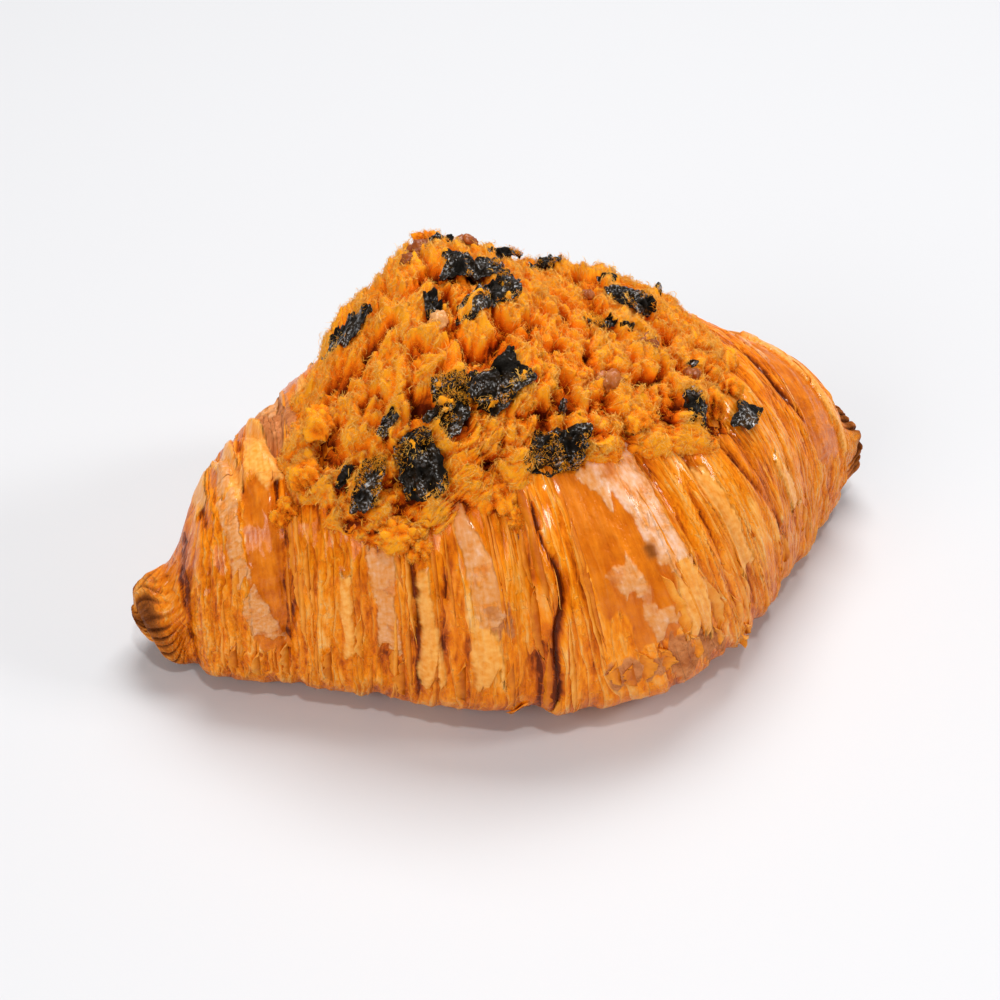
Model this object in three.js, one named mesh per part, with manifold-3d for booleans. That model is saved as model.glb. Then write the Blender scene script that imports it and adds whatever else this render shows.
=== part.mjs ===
// Croissant with a heap of shredded meat floss and pieces of roasted seaweed on its ridge.
// Millimetres, +Z up. The roll lies along X, its fuller side faces -Y, and it rests on its flat underside.
import * as THREE from "three";
import { mergeVertices } from "three/addons/utils/BufferGeometryUtils.js";
import Module from "manifold-3d";

const wasm = await Module();
wasm.setup();

// Driving dimensions
const LEFT_REACH = 83; // from the middle section to the left tip
const RIGHT_REACH = 80; // from the middle section to the right tip
const FRONT_HALF = 58.5; // widest half of the roll, on its fuller side
const CRUST_HEIGHT = 62.5;
const BACK_SHARE = 0.8; // how full the other side is
const BACK_BLEND = { slope: 2, start: 0.3 }; // how fast the section goes over to the back's share
const SPINE_BOW = 3; // how far the middle leans to the front
const WIDEST_AT = 0.27; // height of the widest line, as a share of the section's height
const WIDEST_RISE = 0.2; // what it gains towards the tips
const UNDERSIDE_DEPTH = 1.05; // how far the section would reach below the surface it rests on
const ROUND_ABOVE = 2.3; // exponents of the rounded sections
const ROUND_BELOW = 3;
const FAN_ANGLE = 0.427; // how far the sections turn at the ends, like the wraps of the dough
const STUB_LENGTH = 14; // here the turn fades out
const FLOSS_EDGE = 3.6; // thickness of the floss near its edge
const FLOSS_PEAK = 12.5; // what the peak adds
const FLOSS_LUMP = 0.9;
const SEAWEED_THICKNESS = 0.7;
const GAP = 0.35; // between pieces that touch
const LENGTH_STEPS = 80;
const ROUND_STEPS = 32;
const TIP_CROWDING = 0.375; // how much closer together the steps are at the tips
const ROOM_PAST_TIP = 1.5; // how much further the room round the roll reaches at its tips

// Sections of the roll: place along each reach, front half width and height as shares, lift in mm
const SECTIONS = [
  [-1, 0.085, 0.224, 6.5],
  [-0.985, 0.154, 0.288, 3.6],
  [-0.947, 0.185, 0.336, 1.6],
  [-0.905, 0.195, 0.36, 1],
  [-0.868, 0.23, 0.448, 0.8],
  [-0.83, 0.3, 0.56, 0.6],
  [-0.77, 0.36, 0.648, 0.3],
  [-0.66, 0.455, 0.76, 0],
  [-0.457, 0.677, 0.912, 0],
  [-0.217, 0.943, 0.992, 0],
  [0, 1, 1, 0],
  [0.263, 0.832, 0.944, 0],
  [0.512, 0.545, 0.792, 0],
  [0.725, 0.335, 0.62, 0.6],
  [0.838, 0.228, 0.496, 1.8],
  [0.894, 0.18, 0.384, 3.2],
  [0.938, 0.159, 0.328, 4.5],
  [0.985, 0.137, 0.288, 6],
  [1, 0.068, 0.208, 8.5],
];

// Edges of the wraps: place in mm along the roll, side that the edge faces, height of its step
const WRAPS = [
  { at: -52, faces: -1, step: 1.2 },
  { at: -38, faces: -1, step: 0.7 },
  { at: -18, faces: -1, step: 2.4 },
  { at: 0, faces: 1, step: 0.7 },
  { at: 11, faces: 1, step: 1 },
  { at: 24, faces: 1, step: 1.1 },
  { at: 48, faces: 1, step: 1.4 },
  { at: 64, faces: 1, step: 1.1 },
];
const WRAP_FADE = 11; // a wrap sinks back to the roll over this length
const WRAP_LIP = 2.2; // width of the hollow in front of its edge
const WRAP_RISE = 0.7; // share of the step that stands above the roll
const WRAP_DIP = 0.5; // share of the step that the hollow goes below it
const WRAP_SLANT = 17; // how far the edges on the right run outwards down the front
const SLANT_MIDDLE = 15; // where along the roll they slant most
const SLANT_SPREAD = 24;
const SLANT_LEVEL = 150; // degrees round the roll where the slant is nothing
const RELIEF_FROM = -0.75; // sine of the angle round the roll where the steps begin
const RELIEF_OVER = 0.6; // and over what part of it they come up

// The heap's outline, seen as a map: mm along the roll, degrees round it
const HEAP_MIDDLE = { along: -10, round: 100 };
const HEAP_HALF = { along: 44, front: 33, back: 29 };
const MM_PER_DEGREE = 0.75;
const HEAP_LOBES = [
  { toward: 133, spread: 14, reach: 9 },
  { toward: 50, spread: 12, reach: 5 },
  { toward: 90, spread: 16, reach: -4 },
  { toward: 158, spread: 14, reach: 4 },
];
const HEAP_PEAK = { along: -22, round: 92, length: 18, degrees: 38 };
const HEAP_RINGS = 13;
const HEAP_SPOKES = 48;
const HEAP_ROOT = 4; // how far the heap starts below the crust, before the crust is cut away
const HEAP_BESIDE = -2; // thickness beyond the outline
const HEAP_RELIEF = 0.6; // share of the crust's steps that the heap follows
const FADE_EDGE = 6; // powers of the distance from the middle by which the heap thins to its outline
const FADE_PEAK = 4;

// Sheets of seaweed
const SHEET_CELLS = 4;
const SHEET_RAGGED = 0.14; // how far the outline strays
const SHEET_NARROWS = 0.2; // shorter at its sides
const SHEET_TAPERS = 0.15; // narrower at one end
const SHEET_CLEAR = 0.8; // height over the floss
const SHEET_CURL = 0.4;

// Seaweed: middle along and round the roll, length, width, turn in the surface and lift of one end
const SEAWEED = [
  { along: -15, round: 98, long: 16, wide: 7, turn: 5, lift: 1.5 },
  { along: -18, round: 85, long: 6, wide: 4, turn: 40, lift: 1 },
  { along: -15, round: 107, long: 15, wide: 6.5, turn: 32, lift: 3 },
  { along: -26, round: 124, long: 8, wide: 9, turn: -8, lift: 1 },
  { along: -18, round: 122, long: 10, wide: 7, turn: 32, lift: 2 },
  { along: -12, round: 133, long: 13, wide: 8.5, turn: 12, lift: 1.5 },
  { along: -31, round: 131, long: 10, wide: 13, turn: 16, lift: 1.2 },
  { along: -41, round: 130, long: 10, wide: 7, turn: -30, lift: 1 },
  { along: 5, round: 108, long: 7, wide: 3.5, turn: 10, lift: 1 },
  { along: 15, round: 100, long: 11, wide: 7, turn: -28, lift: 2.5 },
  { along: 4, round: 87, long: 7, wide: 3.5, turn: 0, lift: 2 },
  { along: -2, round: 80, long: 8.5, wide: 3.5, turn: -12, lift: 2.5 },
  { along: 14, round: 130, long: 4.5, wide: 5.5, turn: -30, lift: 1.5 },
  { along: 25, round: 136, long: 6, wide: 8, turn: -35, lift: 2 },
  { along: -38, round: 88, long: 5.5, wide: 11, turn: 12, lift: 2.5 },
  { along: -37, round: 120, long: 4, wide: 3.5, turn: 30, lift: 1 },
];

const radians = THREE.MathUtils.degToRad;
const bell = (x) => Math.exp(-x * x);
const smooth = (x) => THREE.MathUtils.smoothstep(x, 0, 1);

// Monotone cubic through one column of the sections
function sectionValue(place, column) {
  const rows = SECTIONS.length;
  const run = (i) => SECTIONS[i + 1][0] - SECTIONS[i][0];
  const slope = (i) => (SECTIONS[i + 1][column] - SECTIONS[i][column]) / run(i);
  const tangent = (i) => {
    if (i === 0) return slope(0);
    if (i === rows - 1) return slope(rows - 2);
    const before = slope(i - 1);
    const after = slope(i);
    return before * after > 0 ? (2 * before * after) / (before + after) : 0;
  };
  let i = 0;
  while (i < rows - 2 && SECTIONS[i + 1][0] <= place) i += 1;
  const t = THREE.MathUtils.clamp((place - SECTIONS[i][0]) / run(i), 0, 1);
  const weight = 3 * t ** 2 - 2 * t ** 3;
  const values = SECTIONS[i][column] * (1 - weight) + SECTIONS[i + 1][column] * weight;
  const slopes = tangent(i) * (t ** 3 - 2 * t ** 2 + t) + tangent(i + 1) * (t ** 3 - t ** 2);
  return values + run(i) * slopes;
}

// Place along the roll in the wraps' own measure: on the right their edges slant outwards down the front
function wrapPlace(along, round) {
  const slant = WRAP_SLANT * bell((along - SLANT_MIDDLE) / SLANT_SPREAD);
  return along - slant * Math.sin(round - radians(SLANT_LEVEL));
}

// Steps of the wraps: each rises to its edge and drops into a narrow hollow
function wrapRelief(along, round) {
  const place = wrapPlace(along, round);
  let height = 0;
  for (const wrap of WRAPS) {
    const beyond = (place - wrap.at) * wrap.faces;
    const rise = Math.exp(Math.min(0, beyond) / WRAP_FADE) * smooth(0.5 - beyond / WRAP_LIP);
    const hollow = bell((beyond - WRAP_LIP) / WRAP_LIP);
    height += wrap.step * (WRAP_RISE * rise - WRAP_DIP * hollow);
  }
  return height * smooth((Math.sin(round) - RELIEF_FROM) / RELIEF_OVER);
}

// Point of the crust at a place along and an angle round the roll, moved outwards by a distance
function crustPoint(along, round, outwards = 0, relief = 1) {
  const place = along < 0 ? along / LEFT_REACH : along / RIGHT_REACH;
  const behind = THREE.MathUtils.clamp(Math.cos(round) * BACK_BLEND.slope + BACK_BLEND.start, 0, 1);
  const side = 1 - (1 - BACK_SHARE) * behind;
  const half = sectionValue(place, 1) * FRONT_HALF * side;
  const high = sectionValue(place, 2) * CRUST_HEIGHT;
  const lift = sectionValue(place, 3);
  const middle = lift + (high - lift) * (WIDEST_AT + WIDEST_RISE * place ** 4);
  const above = Math.sin(round) > 0;
  const reach = above ? high - middle : (middle - lift) * UNDERSIDE_DEPTH;
  const power = above ? ROUND_ABOVE : ROUND_BELOW;
  const aside = (Math.abs(Math.cos(round)) / half) ** power;
  const upright = (Math.abs(Math.sin(round)) / reach) ** power;
  const radius = (aside + upright) ** (-1 / power) + wrapRelief(along, round) * relief + outwards;
  const end = place < 0 ? LEFT_REACH : RIGHT_REACH;
  const toTip = THREE.MathUtils.clamp((end - Math.abs(along)) / STUB_LENGTH, 0, 1);
  const turn = FAN_ANGLE * place * Math.sqrt(toTip);
  const across = radius * Math.cos(round);
  return new THREE.Vector3(
    along - across * Math.sin(turn),
    -SPINE_BOW * (1 - place * place) + across * Math.cos(turn),
    Math.max(middle + radius * Math.sin(round), lift - outwards),
  );
}

// Distance of the heap's outline from its middle, in mm on the map, towards an angle in degrees
function heapReach(degrees) {
  const x = Math.cos(radians(degrees));
  const y = Math.sin(radians(degrees));
  const ellipse = 1 / Math.hypot(x / HEAP_HALF.along, y / (y > 0 ? HEAP_HALF.front : HEAP_HALF.back));
  const turned = ((degrees % 360) + 360) % 360;
  const lobes = HEAP_LOBES.map((lobe) => lobe.reach * bell((turned - lobe.toward) / lobe.spread));
  return lobes.reduce((sum, reach) => sum + reach, ellipse);
}

// Uneven lumps of the floss, as a share from -1 to 1
function lumps(along, round) {
  const a = Math.sin(along * 0.71 + 2.1 * Math.sin(round * 4.3)) * Math.cos(round * 7.9 + along * 0.13);
  const b = Math.sin(along * 0.37 - round * 5.2 + 1.3);
  return 0.65 * a + 0.35 * b;
}

// Thickness of the floss over the crust, and below zero beyond its outline
function flossThickness(along, round) {
  const degrees = THREE.MathUtils.radToDeg(round);
  const x = along - HEAP_MIDDLE.along;
  const y = (degrees - HEAP_MIDDLE.round) * MM_PER_DEGREE;
  const share = Math.hypot(x, y) / heapReach(THREE.MathUtils.radToDeg(Math.atan2(y, x)));
  if (share >= 1) return HEAP_BESIDE;
  const fromPeakAlong = (along - HEAP_PEAK.along) / HEAP_PEAK.length;
  const fromPeakRound = (degrees - HEAP_PEAK.round) / HEAP_PEAK.degrees;
  const peak = FLOSS_PEAK * bell(Math.hypot(fromPeakAlong, fromPeakRound));
  const uneven = FLOSS_LUMP * lumps(along, round);
  return FLOSS_EDGE * Math.sqrt(1 - share ** FADE_EDGE) + (peak + uneven) * (1 - share ** FADE_PEAK);
}

// Closed mesh from a grid of points whose rows go round: both ends are closed to their own middle
function closedGrid(rows) {
  const round = rows[0].length;
  const points = rows.flat();
  const middle = (row) => row.reduce((sum, p) => sum.add(p), new THREE.Vector3()).divideScalar(round);
  points.push(middle(rows[0]), middle(rows.at(-1)));
  const first = points.length - 2;
  const faces = [];
  for (let i = 0; i < rows.length - 1; i += 1) {
    for (let j = 0; j < round; j += 1) {
      const k = (j + 1) % round;
      const [a, b, c, d] = [i * round + j, i * round + k, (i + 1) * round + j, (i + 1) * round + k];
      faces.push(a, b, d, a, d, c);
    }
  }
  const last = (rows.length - 1) * round;
  for (let j = 0; j < round; j += 1) {
    const k = (j + 1) % round;
    faces.push(first, k, j);
    faces.push(first + 1, last + j, last + k);
  }
  return geometryOf(points, faces);
}

function geometryOf(points, faces) {
  const geometry = new THREE.BufferGeometry().setFromPoints(points);
  geometry.setIndex(faces);
  return geometry;
}

// Geometry to solid, turned the right way round
function solidOf(geometry) {
  const merged = mergeVertices(geometry, 1e-4);
  const vertProperties = merged.attributes.position.array;
  const build = (triVerts) => new wasm.Manifold(new wasm.Mesh({ numProp: 3, vertProperties, triVerts }));
  const solid = build(new Uint32Array(merged.index.array));
  return solid.volume() > 0 ? solid : build(new Uint32Array(merged.index.array).reverse());
}

// The largest body of a solid, as a geometry
function geometryFrom(solid) {
  const largest = solid.decompose().sort((a, b) => b.volume() - a.volume())[0];
  const mesh = largest.getMesh();
  const geometry = new THREE.BufferGeometry();
  const places = new Float32Array(mesh.numVert * 3);
  for (let i = 0; i < mesh.numVert; i += 1) {
    places.set(mesh.vertProperties.subarray(i * mesh.numProp, i * mesh.numProp + 3), i * 3);
  }
  geometry.setAttribute("position", new THREE.BufferAttribute(places, 3));
  geometry.setIndex(new THREE.BufferAttribute(mesh.triVerts, 1));
  return geometry;
}

// The roll: rows of points round it, closer together at the tips
function crustRows(outwards) {
  const rows = [];
  for (let i = 0; i <= LENGTH_STEPS; i += 1) {
    const t = i / LENGTH_STEPS;
    const crowded = t - (TIP_CROWDING * Math.sin(4 * Math.PI * t)) / (4 * Math.PI);
    const along = -LEFT_REACH + (LEFT_REACH + RIGHT_REACH) * crowded;
    const stretch = 1 + (outwards / LEFT_REACH) * ROOM_PAST_TIP;
    const row = [];
    for (let j = 0; j < ROUND_STEPS; j += 1) {
      const point = crustPoint(along, (2 * Math.PI * j) / ROUND_STEPS, outwards);
      point.x *= stretch;
      row.push(point);
    }
    rows.push(row);
  }
  return rows;
}

// The heap: rings from its outline to its middle, above the crust and below its surface
function flossGeometry(outwards) {
  const ring = (share, under) => {
    const row = [];
    for (let j = 0; j < HEAP_SPOKES; j += 1) {
      const degrees = (360 * j) / HEAP_SPOKES;
      const reach = heapReach(degrees) * share;
      const along = HEAP_MIDDLE.along + reach * Math.cos(radians(degrees));
      const round = radians(HEAP_MIDDLE.round + (reach * Math.sin(radians(degrees))) / MM_PER_DEGREE);
      const height = under ? -HEAP_ROOT : flossThickness(along, round) + outwards;
      row.push(crustPoint(along, round, height, HEAP_RELIEF));
    }
    return row;
  };
  const rows = [0.05, 0.5, 1].map((share) => ring(share, true));
  for (let i = 0; i <= HEAP_RINGS; i += 1) {
    const inwards = (0.96 * i) / HEAP_RINGS;
    rows.push(ring(0.999 * Math.cos((Math.PI / 2) * inwards), false));
  }
  return closedGrid(rows);
}

// One piece of seaweed: a thin curled sheet with an uneven outline, laid on the heap
function seaweedGeometry({ along, round, long, wide, turn, lift }, number, room = 0) {
  const cells = SHEET_CELLS;
  const sides = [[], []];
  for (let i = 0; i <= cells; i += 1) {
    for (let j = 0; j <= cells; j += 1) {
      const u = (2 * i) / cells - 1;
      const v = (2 * j) / cells - 1;
      const ragged = 1 + SHEET_RAGGED * Math.sin(5 * u + 3 * v + number * 1.7);
      const a = u * ((long * ragged * (1 - SHEET_NARROWS * v * v)) / 2 + room);
      const b = v * ((wide * ragged * (1 - SHEET_TAPERS * u)) / 2 + room);
      const x = a * Math.cos(radians(turn)) - b * Math.sin(radians(turn));
      const y = a * Math.sin(radians(turn)) + b * Math.cos(radians(turn));
      const place = along + x;
      const angle = radians(round - y / MM_PER_DEGREE);
      const rise = SHEET_CLEAR + lift * (0.5 + 0.5 * u) ** 2 + SHEET_CURL * Math.cos(3 * v + number);
      const base = Math.max(0, flossThickness(place, angle)) + rise;
      sides[0].push(crustPoint(place, angle, base - room));
      sides[1].push(crustPoint(place, angle, base + SEAWEED_THICKNESS + room));
    }
  }
  const row = cells + 1;
  const under = row * row;
  const faces = [];
  for (let i = 0; i < cells; i += 1) {
    for (let j = 0; j < cells; j += 1) {
      const [a, b, c, d] = [i * row + j, (i + 1) * row + j, (i + 1) * row + j + 1, i * row + j + 1];
      faces.push(a, b, c, a, c, d);
      faces.push(under + a, under + c, under + b, under + a, under + d, under + c);
    }
  }
  const rim = [];
  for (let i = 0; i < cells; i += 1) rim.push(i * row);
  for (let j = 0; j < cells; j += 1) rim.push(cells * row + j);
  for (let i = cells; i > 0; i -= 1) rim.push(i * row + cells);
  for (let j = cells; j > 0; j -= 1) rim.push(j);
  rim.forEach((a, i) => {
    const b = rim[(i + 1) % rim.length];
    faces.push(a, under + a, under + b, a, under + b, b);
  });
  return geometryOf([...sides[0], ...sides[1]], faces);
}

const crustFinish = new THREE.MeshStandardMaterial({ color: 0xc07828, roughness: 0.38, metalness: 0 });
const flossFinish = new THREE.MeshStandardMaterial({ color: 0xd98425, roughness: 0.9, metalness: 0 });
const seaweedFinish = new THREE.MeshStandardMaterial({ color: 0x14140e, roughness: 0.35, metalness: 0 });

const group = new THREE.Group();

function addPiece(name, geometry, material) {
  const mesh = new THREE.Mesh(geometry, material);
  mesh.name = name;
  group.add(mesh);
  return mesh;
}

const croissant = solidOf(closedGrid(crustRows(0)));
const croissantRoom = solidOf(closedGrid(crustRows(GAP)));
const heap = solidOf(flossGeometry(0)).subtract(croissantRoom);
const heapRoom = solidOf(flossGeometry(GAP));

addPiece("croissant", geometryFrom(croissant), crustFinish);
addPiece("floss_heap", geometryFrom(heap), flossFinish);

let taken = croissantRoom.add(heapRoom);
SEAWEED.forEach((piece, i) => {
  const sheet = solidOf(seaweedGeometry(piece, i));
  const name = "seaweed_" + String(i + 1).padStart(2, "0");
  addPiece(name, geometryFrom(sheet.subtract(taken)), seaweedFinish);
  taken = taken.add(solidOf(seaweedGeometry(piece, i, 2 * GAP)));
});

// The origin is below the middle of the whole object's box
const box = new THREE.Box3().setFromObject(group, true);
const middle = box.getCenter(new THREE.Vector3());
group.children.forEach((mesh) => mesh.geometry.translate(-middle.x, -middle.y, -box.min.z));

export default group;
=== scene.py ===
import math

import bpy
import numpy as np
from mathutils import Matrix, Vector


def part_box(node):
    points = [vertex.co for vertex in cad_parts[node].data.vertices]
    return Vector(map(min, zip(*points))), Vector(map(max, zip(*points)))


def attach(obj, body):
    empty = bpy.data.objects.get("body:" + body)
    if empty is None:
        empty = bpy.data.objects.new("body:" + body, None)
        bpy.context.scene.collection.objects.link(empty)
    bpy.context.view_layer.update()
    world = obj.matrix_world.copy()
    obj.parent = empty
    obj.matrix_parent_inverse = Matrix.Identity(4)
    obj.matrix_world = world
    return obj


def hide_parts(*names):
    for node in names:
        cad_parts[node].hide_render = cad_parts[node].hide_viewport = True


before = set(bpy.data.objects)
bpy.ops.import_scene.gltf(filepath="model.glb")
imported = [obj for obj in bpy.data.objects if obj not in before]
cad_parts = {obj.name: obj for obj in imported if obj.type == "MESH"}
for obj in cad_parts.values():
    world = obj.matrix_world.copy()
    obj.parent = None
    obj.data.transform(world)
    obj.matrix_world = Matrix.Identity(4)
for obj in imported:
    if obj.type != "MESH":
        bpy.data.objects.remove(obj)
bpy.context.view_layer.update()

# The roll
# Laminated dough cut as a long triangle, rolled up, pinched at both tips and baked on its underside.
# Its plies opened in stripes along the edges of the wraps, and egg wash browned them to a glossy amber.

# A place on the roll is given in mm along it from its middle and in degrees round it: 0 at the back, 90 on
# the ridge and 180 in front. A place across the wraps is one that follows their slanting lines.
MM = 0.001  # the form is worked out in millimetres, and its points are turned into metres
MM_PER_DEGREE = 0.75  # round the roll, on its upper side
LEFT_REACH = 83.0  # from the middle to the end of each tip
RIGHT_REACH = 80.0
FRONT_HALF = 58.5
CRUST_HEIGHT = 62.5
BACK_SHARE = 0.8  # the back's half width for each mm of the front's, blended in over the ridge
BACK_SLOPE = 2.0
BACK_START = 0.3
SPINE_BOW = 3.0  # how far the middle bows to the front
WIDEST_AT = 0.27  # level of the widest place as a share of the height, and how far it rises to the tips
WIDEST_RISE = 0.2
UNDERSIDE_DEPTH = 1.05
ROUND_ABOVE = 2.3  # powers of the rounded outline above and below its widest place
ROUND_BELOW = 3.0
FAN_ANGLE = 0.427  # how far the roll's rounds turn towards its tips, in radians
STUB_LENGTH = 14.0  # length of each tip over which they turn back

# Sections of the roll: place along each reach, front half width and height as shares, lift in mm
SECTIONS = np.array([
    [-1, 0.085, 0.224, 6.5],
    [-0.985, 0.154, 0.288, 3.6],
    [-0.947, 0.185, 0.336, 1.6],
    [-0.905, 0.195, 0.36, 1],
    [-0.868, 0.23, 0.448, 0.8],
    [-0.83, 0.3, 0.56, 0.6],
    [-0.77, 0.36, 0.648, 0.3],
    [-0.66, 0.455, 0.76, 0],
    [-0.457, 0.677, 0.912, 0],
    [-0.217, 0.943, 0.992, 0],
    [0, 1, 1, 0],
    [0.263, 0.832, 0.944, 0],
    [0.512, 0.545, 0.792, 0],
    [0.725, 0.335, 0.62, 0.6],
    [0.838, 0.228, 0.496, 1.8],
    [0.894, 0.18, 0.384, 3.2],
    [0.938, 0.159, 0.328, 4.5],
    [0.985, 0.137, 0.288, 6],
    [1, 0.068, 0.208, 8.5],
])

# Edges of the wraps: place in mm along the roll, side that the edge faces, height of its step
WRAPS = [(-52, -1, 1.2), (-38, -1, 0.7), (-18, -1, 2.4), (0, 1, 0.7), (11, 1, 1.0), (24, 1, 1.1),
         (48, 1, 1.4), (64, 1, 1.1)]
NECKS = [(-71.6, -1, 3.0), (66.2, 1, 1.2)]
WRAP_FADE = 11.0  # length over which a wrap rises to its edge
WRAP_LIP = 2.2  # length over which it drops there
WRAP_RISE = 0.7  # shares of a step's height by which it rises and by which the hollow beyond it dips
WRAP_DIP = 0.5
WRAP_SLANT = 17.0  # how far the lines of the wraps slant at SLANT_MIDDLE
SLANT_MIDDLE = 15.0
SLANT_SPREAD = 24.0
SLANT_LEVEL = 150.0  # the turn at which places across the wraps are places along the roll
RELIEF_FROM = -0.75  # sine of the turn below which the underside stays plain
RELIEF_OVER = 0.6
GROOVE_AT = 1.0  # middle and half width of the gap beyond a wrap's edge, dented and darkened with painted shade
GROOVE_WIDTH = 0.75
EDGES_TURN_AT = -9.0  # left of this place the plies' edges face the left tip

# Rolled edges on the left shoulder: place across the wraps, turn in degrees there, slant in mm for each
# degree, height of the step
LOBES = [(-57.7, 88, 0.26, 1.5), (-63.0, 92, 0.16, 1.4), (-68.6, 96, 0.1, 1.0)]
LOBE_TURN = 97
LOBE_SPREAD = 24
LOBE_FADE = 5.0
LOBE_LIP = 1.2

# Plies that overlap along the wraps: spacing in mm, seed, height in mm, how far their edges are lightened
# as painted highlights and how far the gaps beyond them are darkened as painted shade
PLIES = [(4.6, 24, 1.2, 0.16, 0.2), (1.9, 27, 0.5, 0.14, 0.12)]
# Dabs along the plies: width in mm, length in degrees, seed, height in mm, how light they are
DABS = [(3.4, 18, 15, 0.35, 0.16), (1.6, 7.5, 16, 0.3, 0.1), (0.95, 6, 17, 0.15, 0.08)]

# Creases between the bands, dented and darkened with painted shade: turns in degrees along each, and its
# places across the wraps
CREASES = [
    ((146, 154, 166, 178), (9.2, 7.9, 7.0, 6.7)),
    ((140, 150, 160, 172), (20.6, 21.9, 24.4, 28.6)),
    ((108, 124, 138, 150, 168), (44.0, 44.6, 47.6, 48.9, 48.2)),
    ((136, 190), (-34.9, -34.4)),
    ((112, 190), (-54.7, -54.6)),
    ((148, 160, 176), (-29.3, -30.5, -31.1)),
]
CREASE_WIDTH = 0.6  # from its middle to its side
CREASE_FADE = 8  # degrees over which the ends of a crease run out

# Skins that lie on the plies: turns in degrees where each starts and stops, then its left and right edge
# in mm across the wraps, at the start and at the stop
SKINS = {
    "pale": [
        (112, 148, -65.4, -62.3, -62.8, -60.3),
        (151, 173, -62.2, -58.8, -60.6, -55.0),
        (144, 177, -40.8, -37.9, -40.0, -37.1),
        (140, 166, -28.2, -26.4, -26.8, -22.6),
        (134, 162, -4.6, 3.4, -2.0, 2.8),
        (138, 146, -10.4, -3.0, -6.0, -2.0),
        (157, 165, -10.2, -5.4, -8.0, -3.4),
        (167, 173, -6.2, -3.0, -5.6, -1.8),
    ],
    # A glossier part of the pale skin in front, lightened with painted sheen
    "frosted": [(130, 161, -7.0, 3.0, -2.6, 2.0)],
    "golden": [
        (166, 180, -27.8, -24.0, -27.2, -23.4),
        (143, 171, 11.4, 14.8, 10.8, 15.2),
        (146, 164, 30.6, 33.0, 33.2, 37.6),
        (162, 176, -0.5, 4.0, -2.5, 2.0),
        (150, 180, -45.4, -44.0, -45.6, -43.6),
        (156, 184, -34.0, -32.6, -34.4, -31.6),
        (90, 116, -60.5, -57.0, -57.5, -53.5),
        (84, 118, -67.0, -63.0, -63.5, -60.5),
        (70, 104, -71.5, -69.0, -70.5, -67.5),
        (84, 154, 52.5, 57.0, 61.5, 64.5),
    ],
    "glazed": [
        (112, 182, -61.0, -55.0, -59.8, -54.0),
        (130, 168, -13.0, -2.0, -10.8, -1.0),
        (150, 176, -9.0, 0.5, -8.0, -2.0),
        (96, 156, 45.5, 54.5, 50.0, 61.0),
    ],
    "bare": [
        (176.5, 184.5, -12.2, 2.0, -12.2, 3.5),
        (161, 171, -26.0, -22.6, -24.6, -22.0),
        (64, 104, -58.5, -52.5, -55.5, -50.0),
    ],
}
SKIN_EDGE = 1.6  # width over which a skin thins out at its edges
SKIN_SEEDS = {"pale": 35, "frosted": 47, "golden": 39, "glazed": 31, "bare": 43}
# More of them strewn behind: width in mm, length in degrees, seed, how rare they are from -1 to 1
SKINS_BEHIND = {"pale": (3.4, 26, 22, 0.5), "golden": (2.8, 30, 23, 0.45), "glazed": (5, 24, 21, 0.4)}
FRONT_FROM = 104  # the turn from which on those thin out towards the front
# Scorched spots: place across the wraps, turn, half width in mm, half length in degrees, depth
SCORCHES = [(-2.4, 157.5, 0.9, 1.7, 0.75), (-8.0, 151, 2.0, 5.0, 0.2)]

# The deep fold in front: its place across the wraps and the turns between which it is open
FOLD_AT = -17.3
FOLD_FROM = 130
FOLD_TO = 190
FOLD_DEPTH = 2.1
FOLD_OPENS = 26  # degrees over which it opens, and over which it closes again
FOLD_CLOSES = 6
LAP_WIDTH = 4  # width of the ply that laps over it
LAP_EDGE = 2.4  # width of that ply's shaded edge

# The pinched tips: where they start and where their necks are, in mm along the roll, how far up the left
# one its creases meet, as a share, and how many creases lie between the middle and the top of each
STUB_FROM = -72.0
STUB_NECK = -72.6
TIP_FROM = 67.5
TIP_NECK = 66.6
PINCH_LEVEL = 0.3
TIP_CREASES = 5.5
TIP_BLEND = 3  # length over which the plies give way to a tip's creases
NECK_WIDTH = 0.9  # from its middle to its side


def bell(x):
    return np.exp(-x * x)


def smooth(x):
    x = np.clip(x, 0, 1)
    return x * x * (3 - 2 * x)


def noise(x, y, seed):
    """Smooth noise from -1 to 1 whose cells are one unit wide."""
    size = 64
    table = np.random.default_rng(seed).uniform(-1, 1, (size, size))
    x, y = np.broadcast_arrays(np.asarray(x, float), np.asarray(y, float))
    column = np.floor(x).astype(int)
    row = np.floor(y).astype(int)
    across = smooth(x - column)
    up = smooth(y - row)
    left = column % size
    right = (column + 1) % size
    low = row % size
    high = (row + 1) % size
    below = table[left, low] * (1 - across) + table[right, low] * across
    above = table[left, high] * (1 - across) + table[right, high] * across
    return below * (1 - up) + above * up


def section_value(place, column):
    """Monotone cubic through one column of the sections."""
    places = SECTIONS[:, 0]
    values = SECTIONS[:, column]
    run = np.diff(places)
    slope = np.diff(values) / run
    tangent = np.concatenate([slope[:1], np.zeros(len(slope) - 1), slope[-1:]])
    same_way = slope[:-1] * slope[1:] > 0
    sums = np.where(same_way, slope[:-1] + slope[1:], 1)
    tangent[1:-1] = np.where(same_way, 2 * slope[:-1] * slope[1:] / sums, 0)
    i = np.clip(np.searchsorted(places, place, side="right") - 1, 0, len(run) - 1)
    t = np.clip((place - places[i]) / run[i], 0, 1)
    weight = 3 * t ** 2 - 2 * t ** 3
    level = values[i] * (1 - weight) + values[i + 1] * weight
    return level + run[i] * (tangent[i] * (t ** 3 - 2 * t ** 2 + t) + tangent[i + 1] * (t ** 3 - t ** 2))


def wrap_place(along, turn):
    """Place along the roll in the wraps' own measure, whose lines slant outwards on the right."""
    slant = WRAP_SLANT * bell((along - SLANT_MIDDLE) / SLANT_SPREAD)
    return along - slant * np.sin(np.radians(turn - SLANT_LEVEL))


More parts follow.
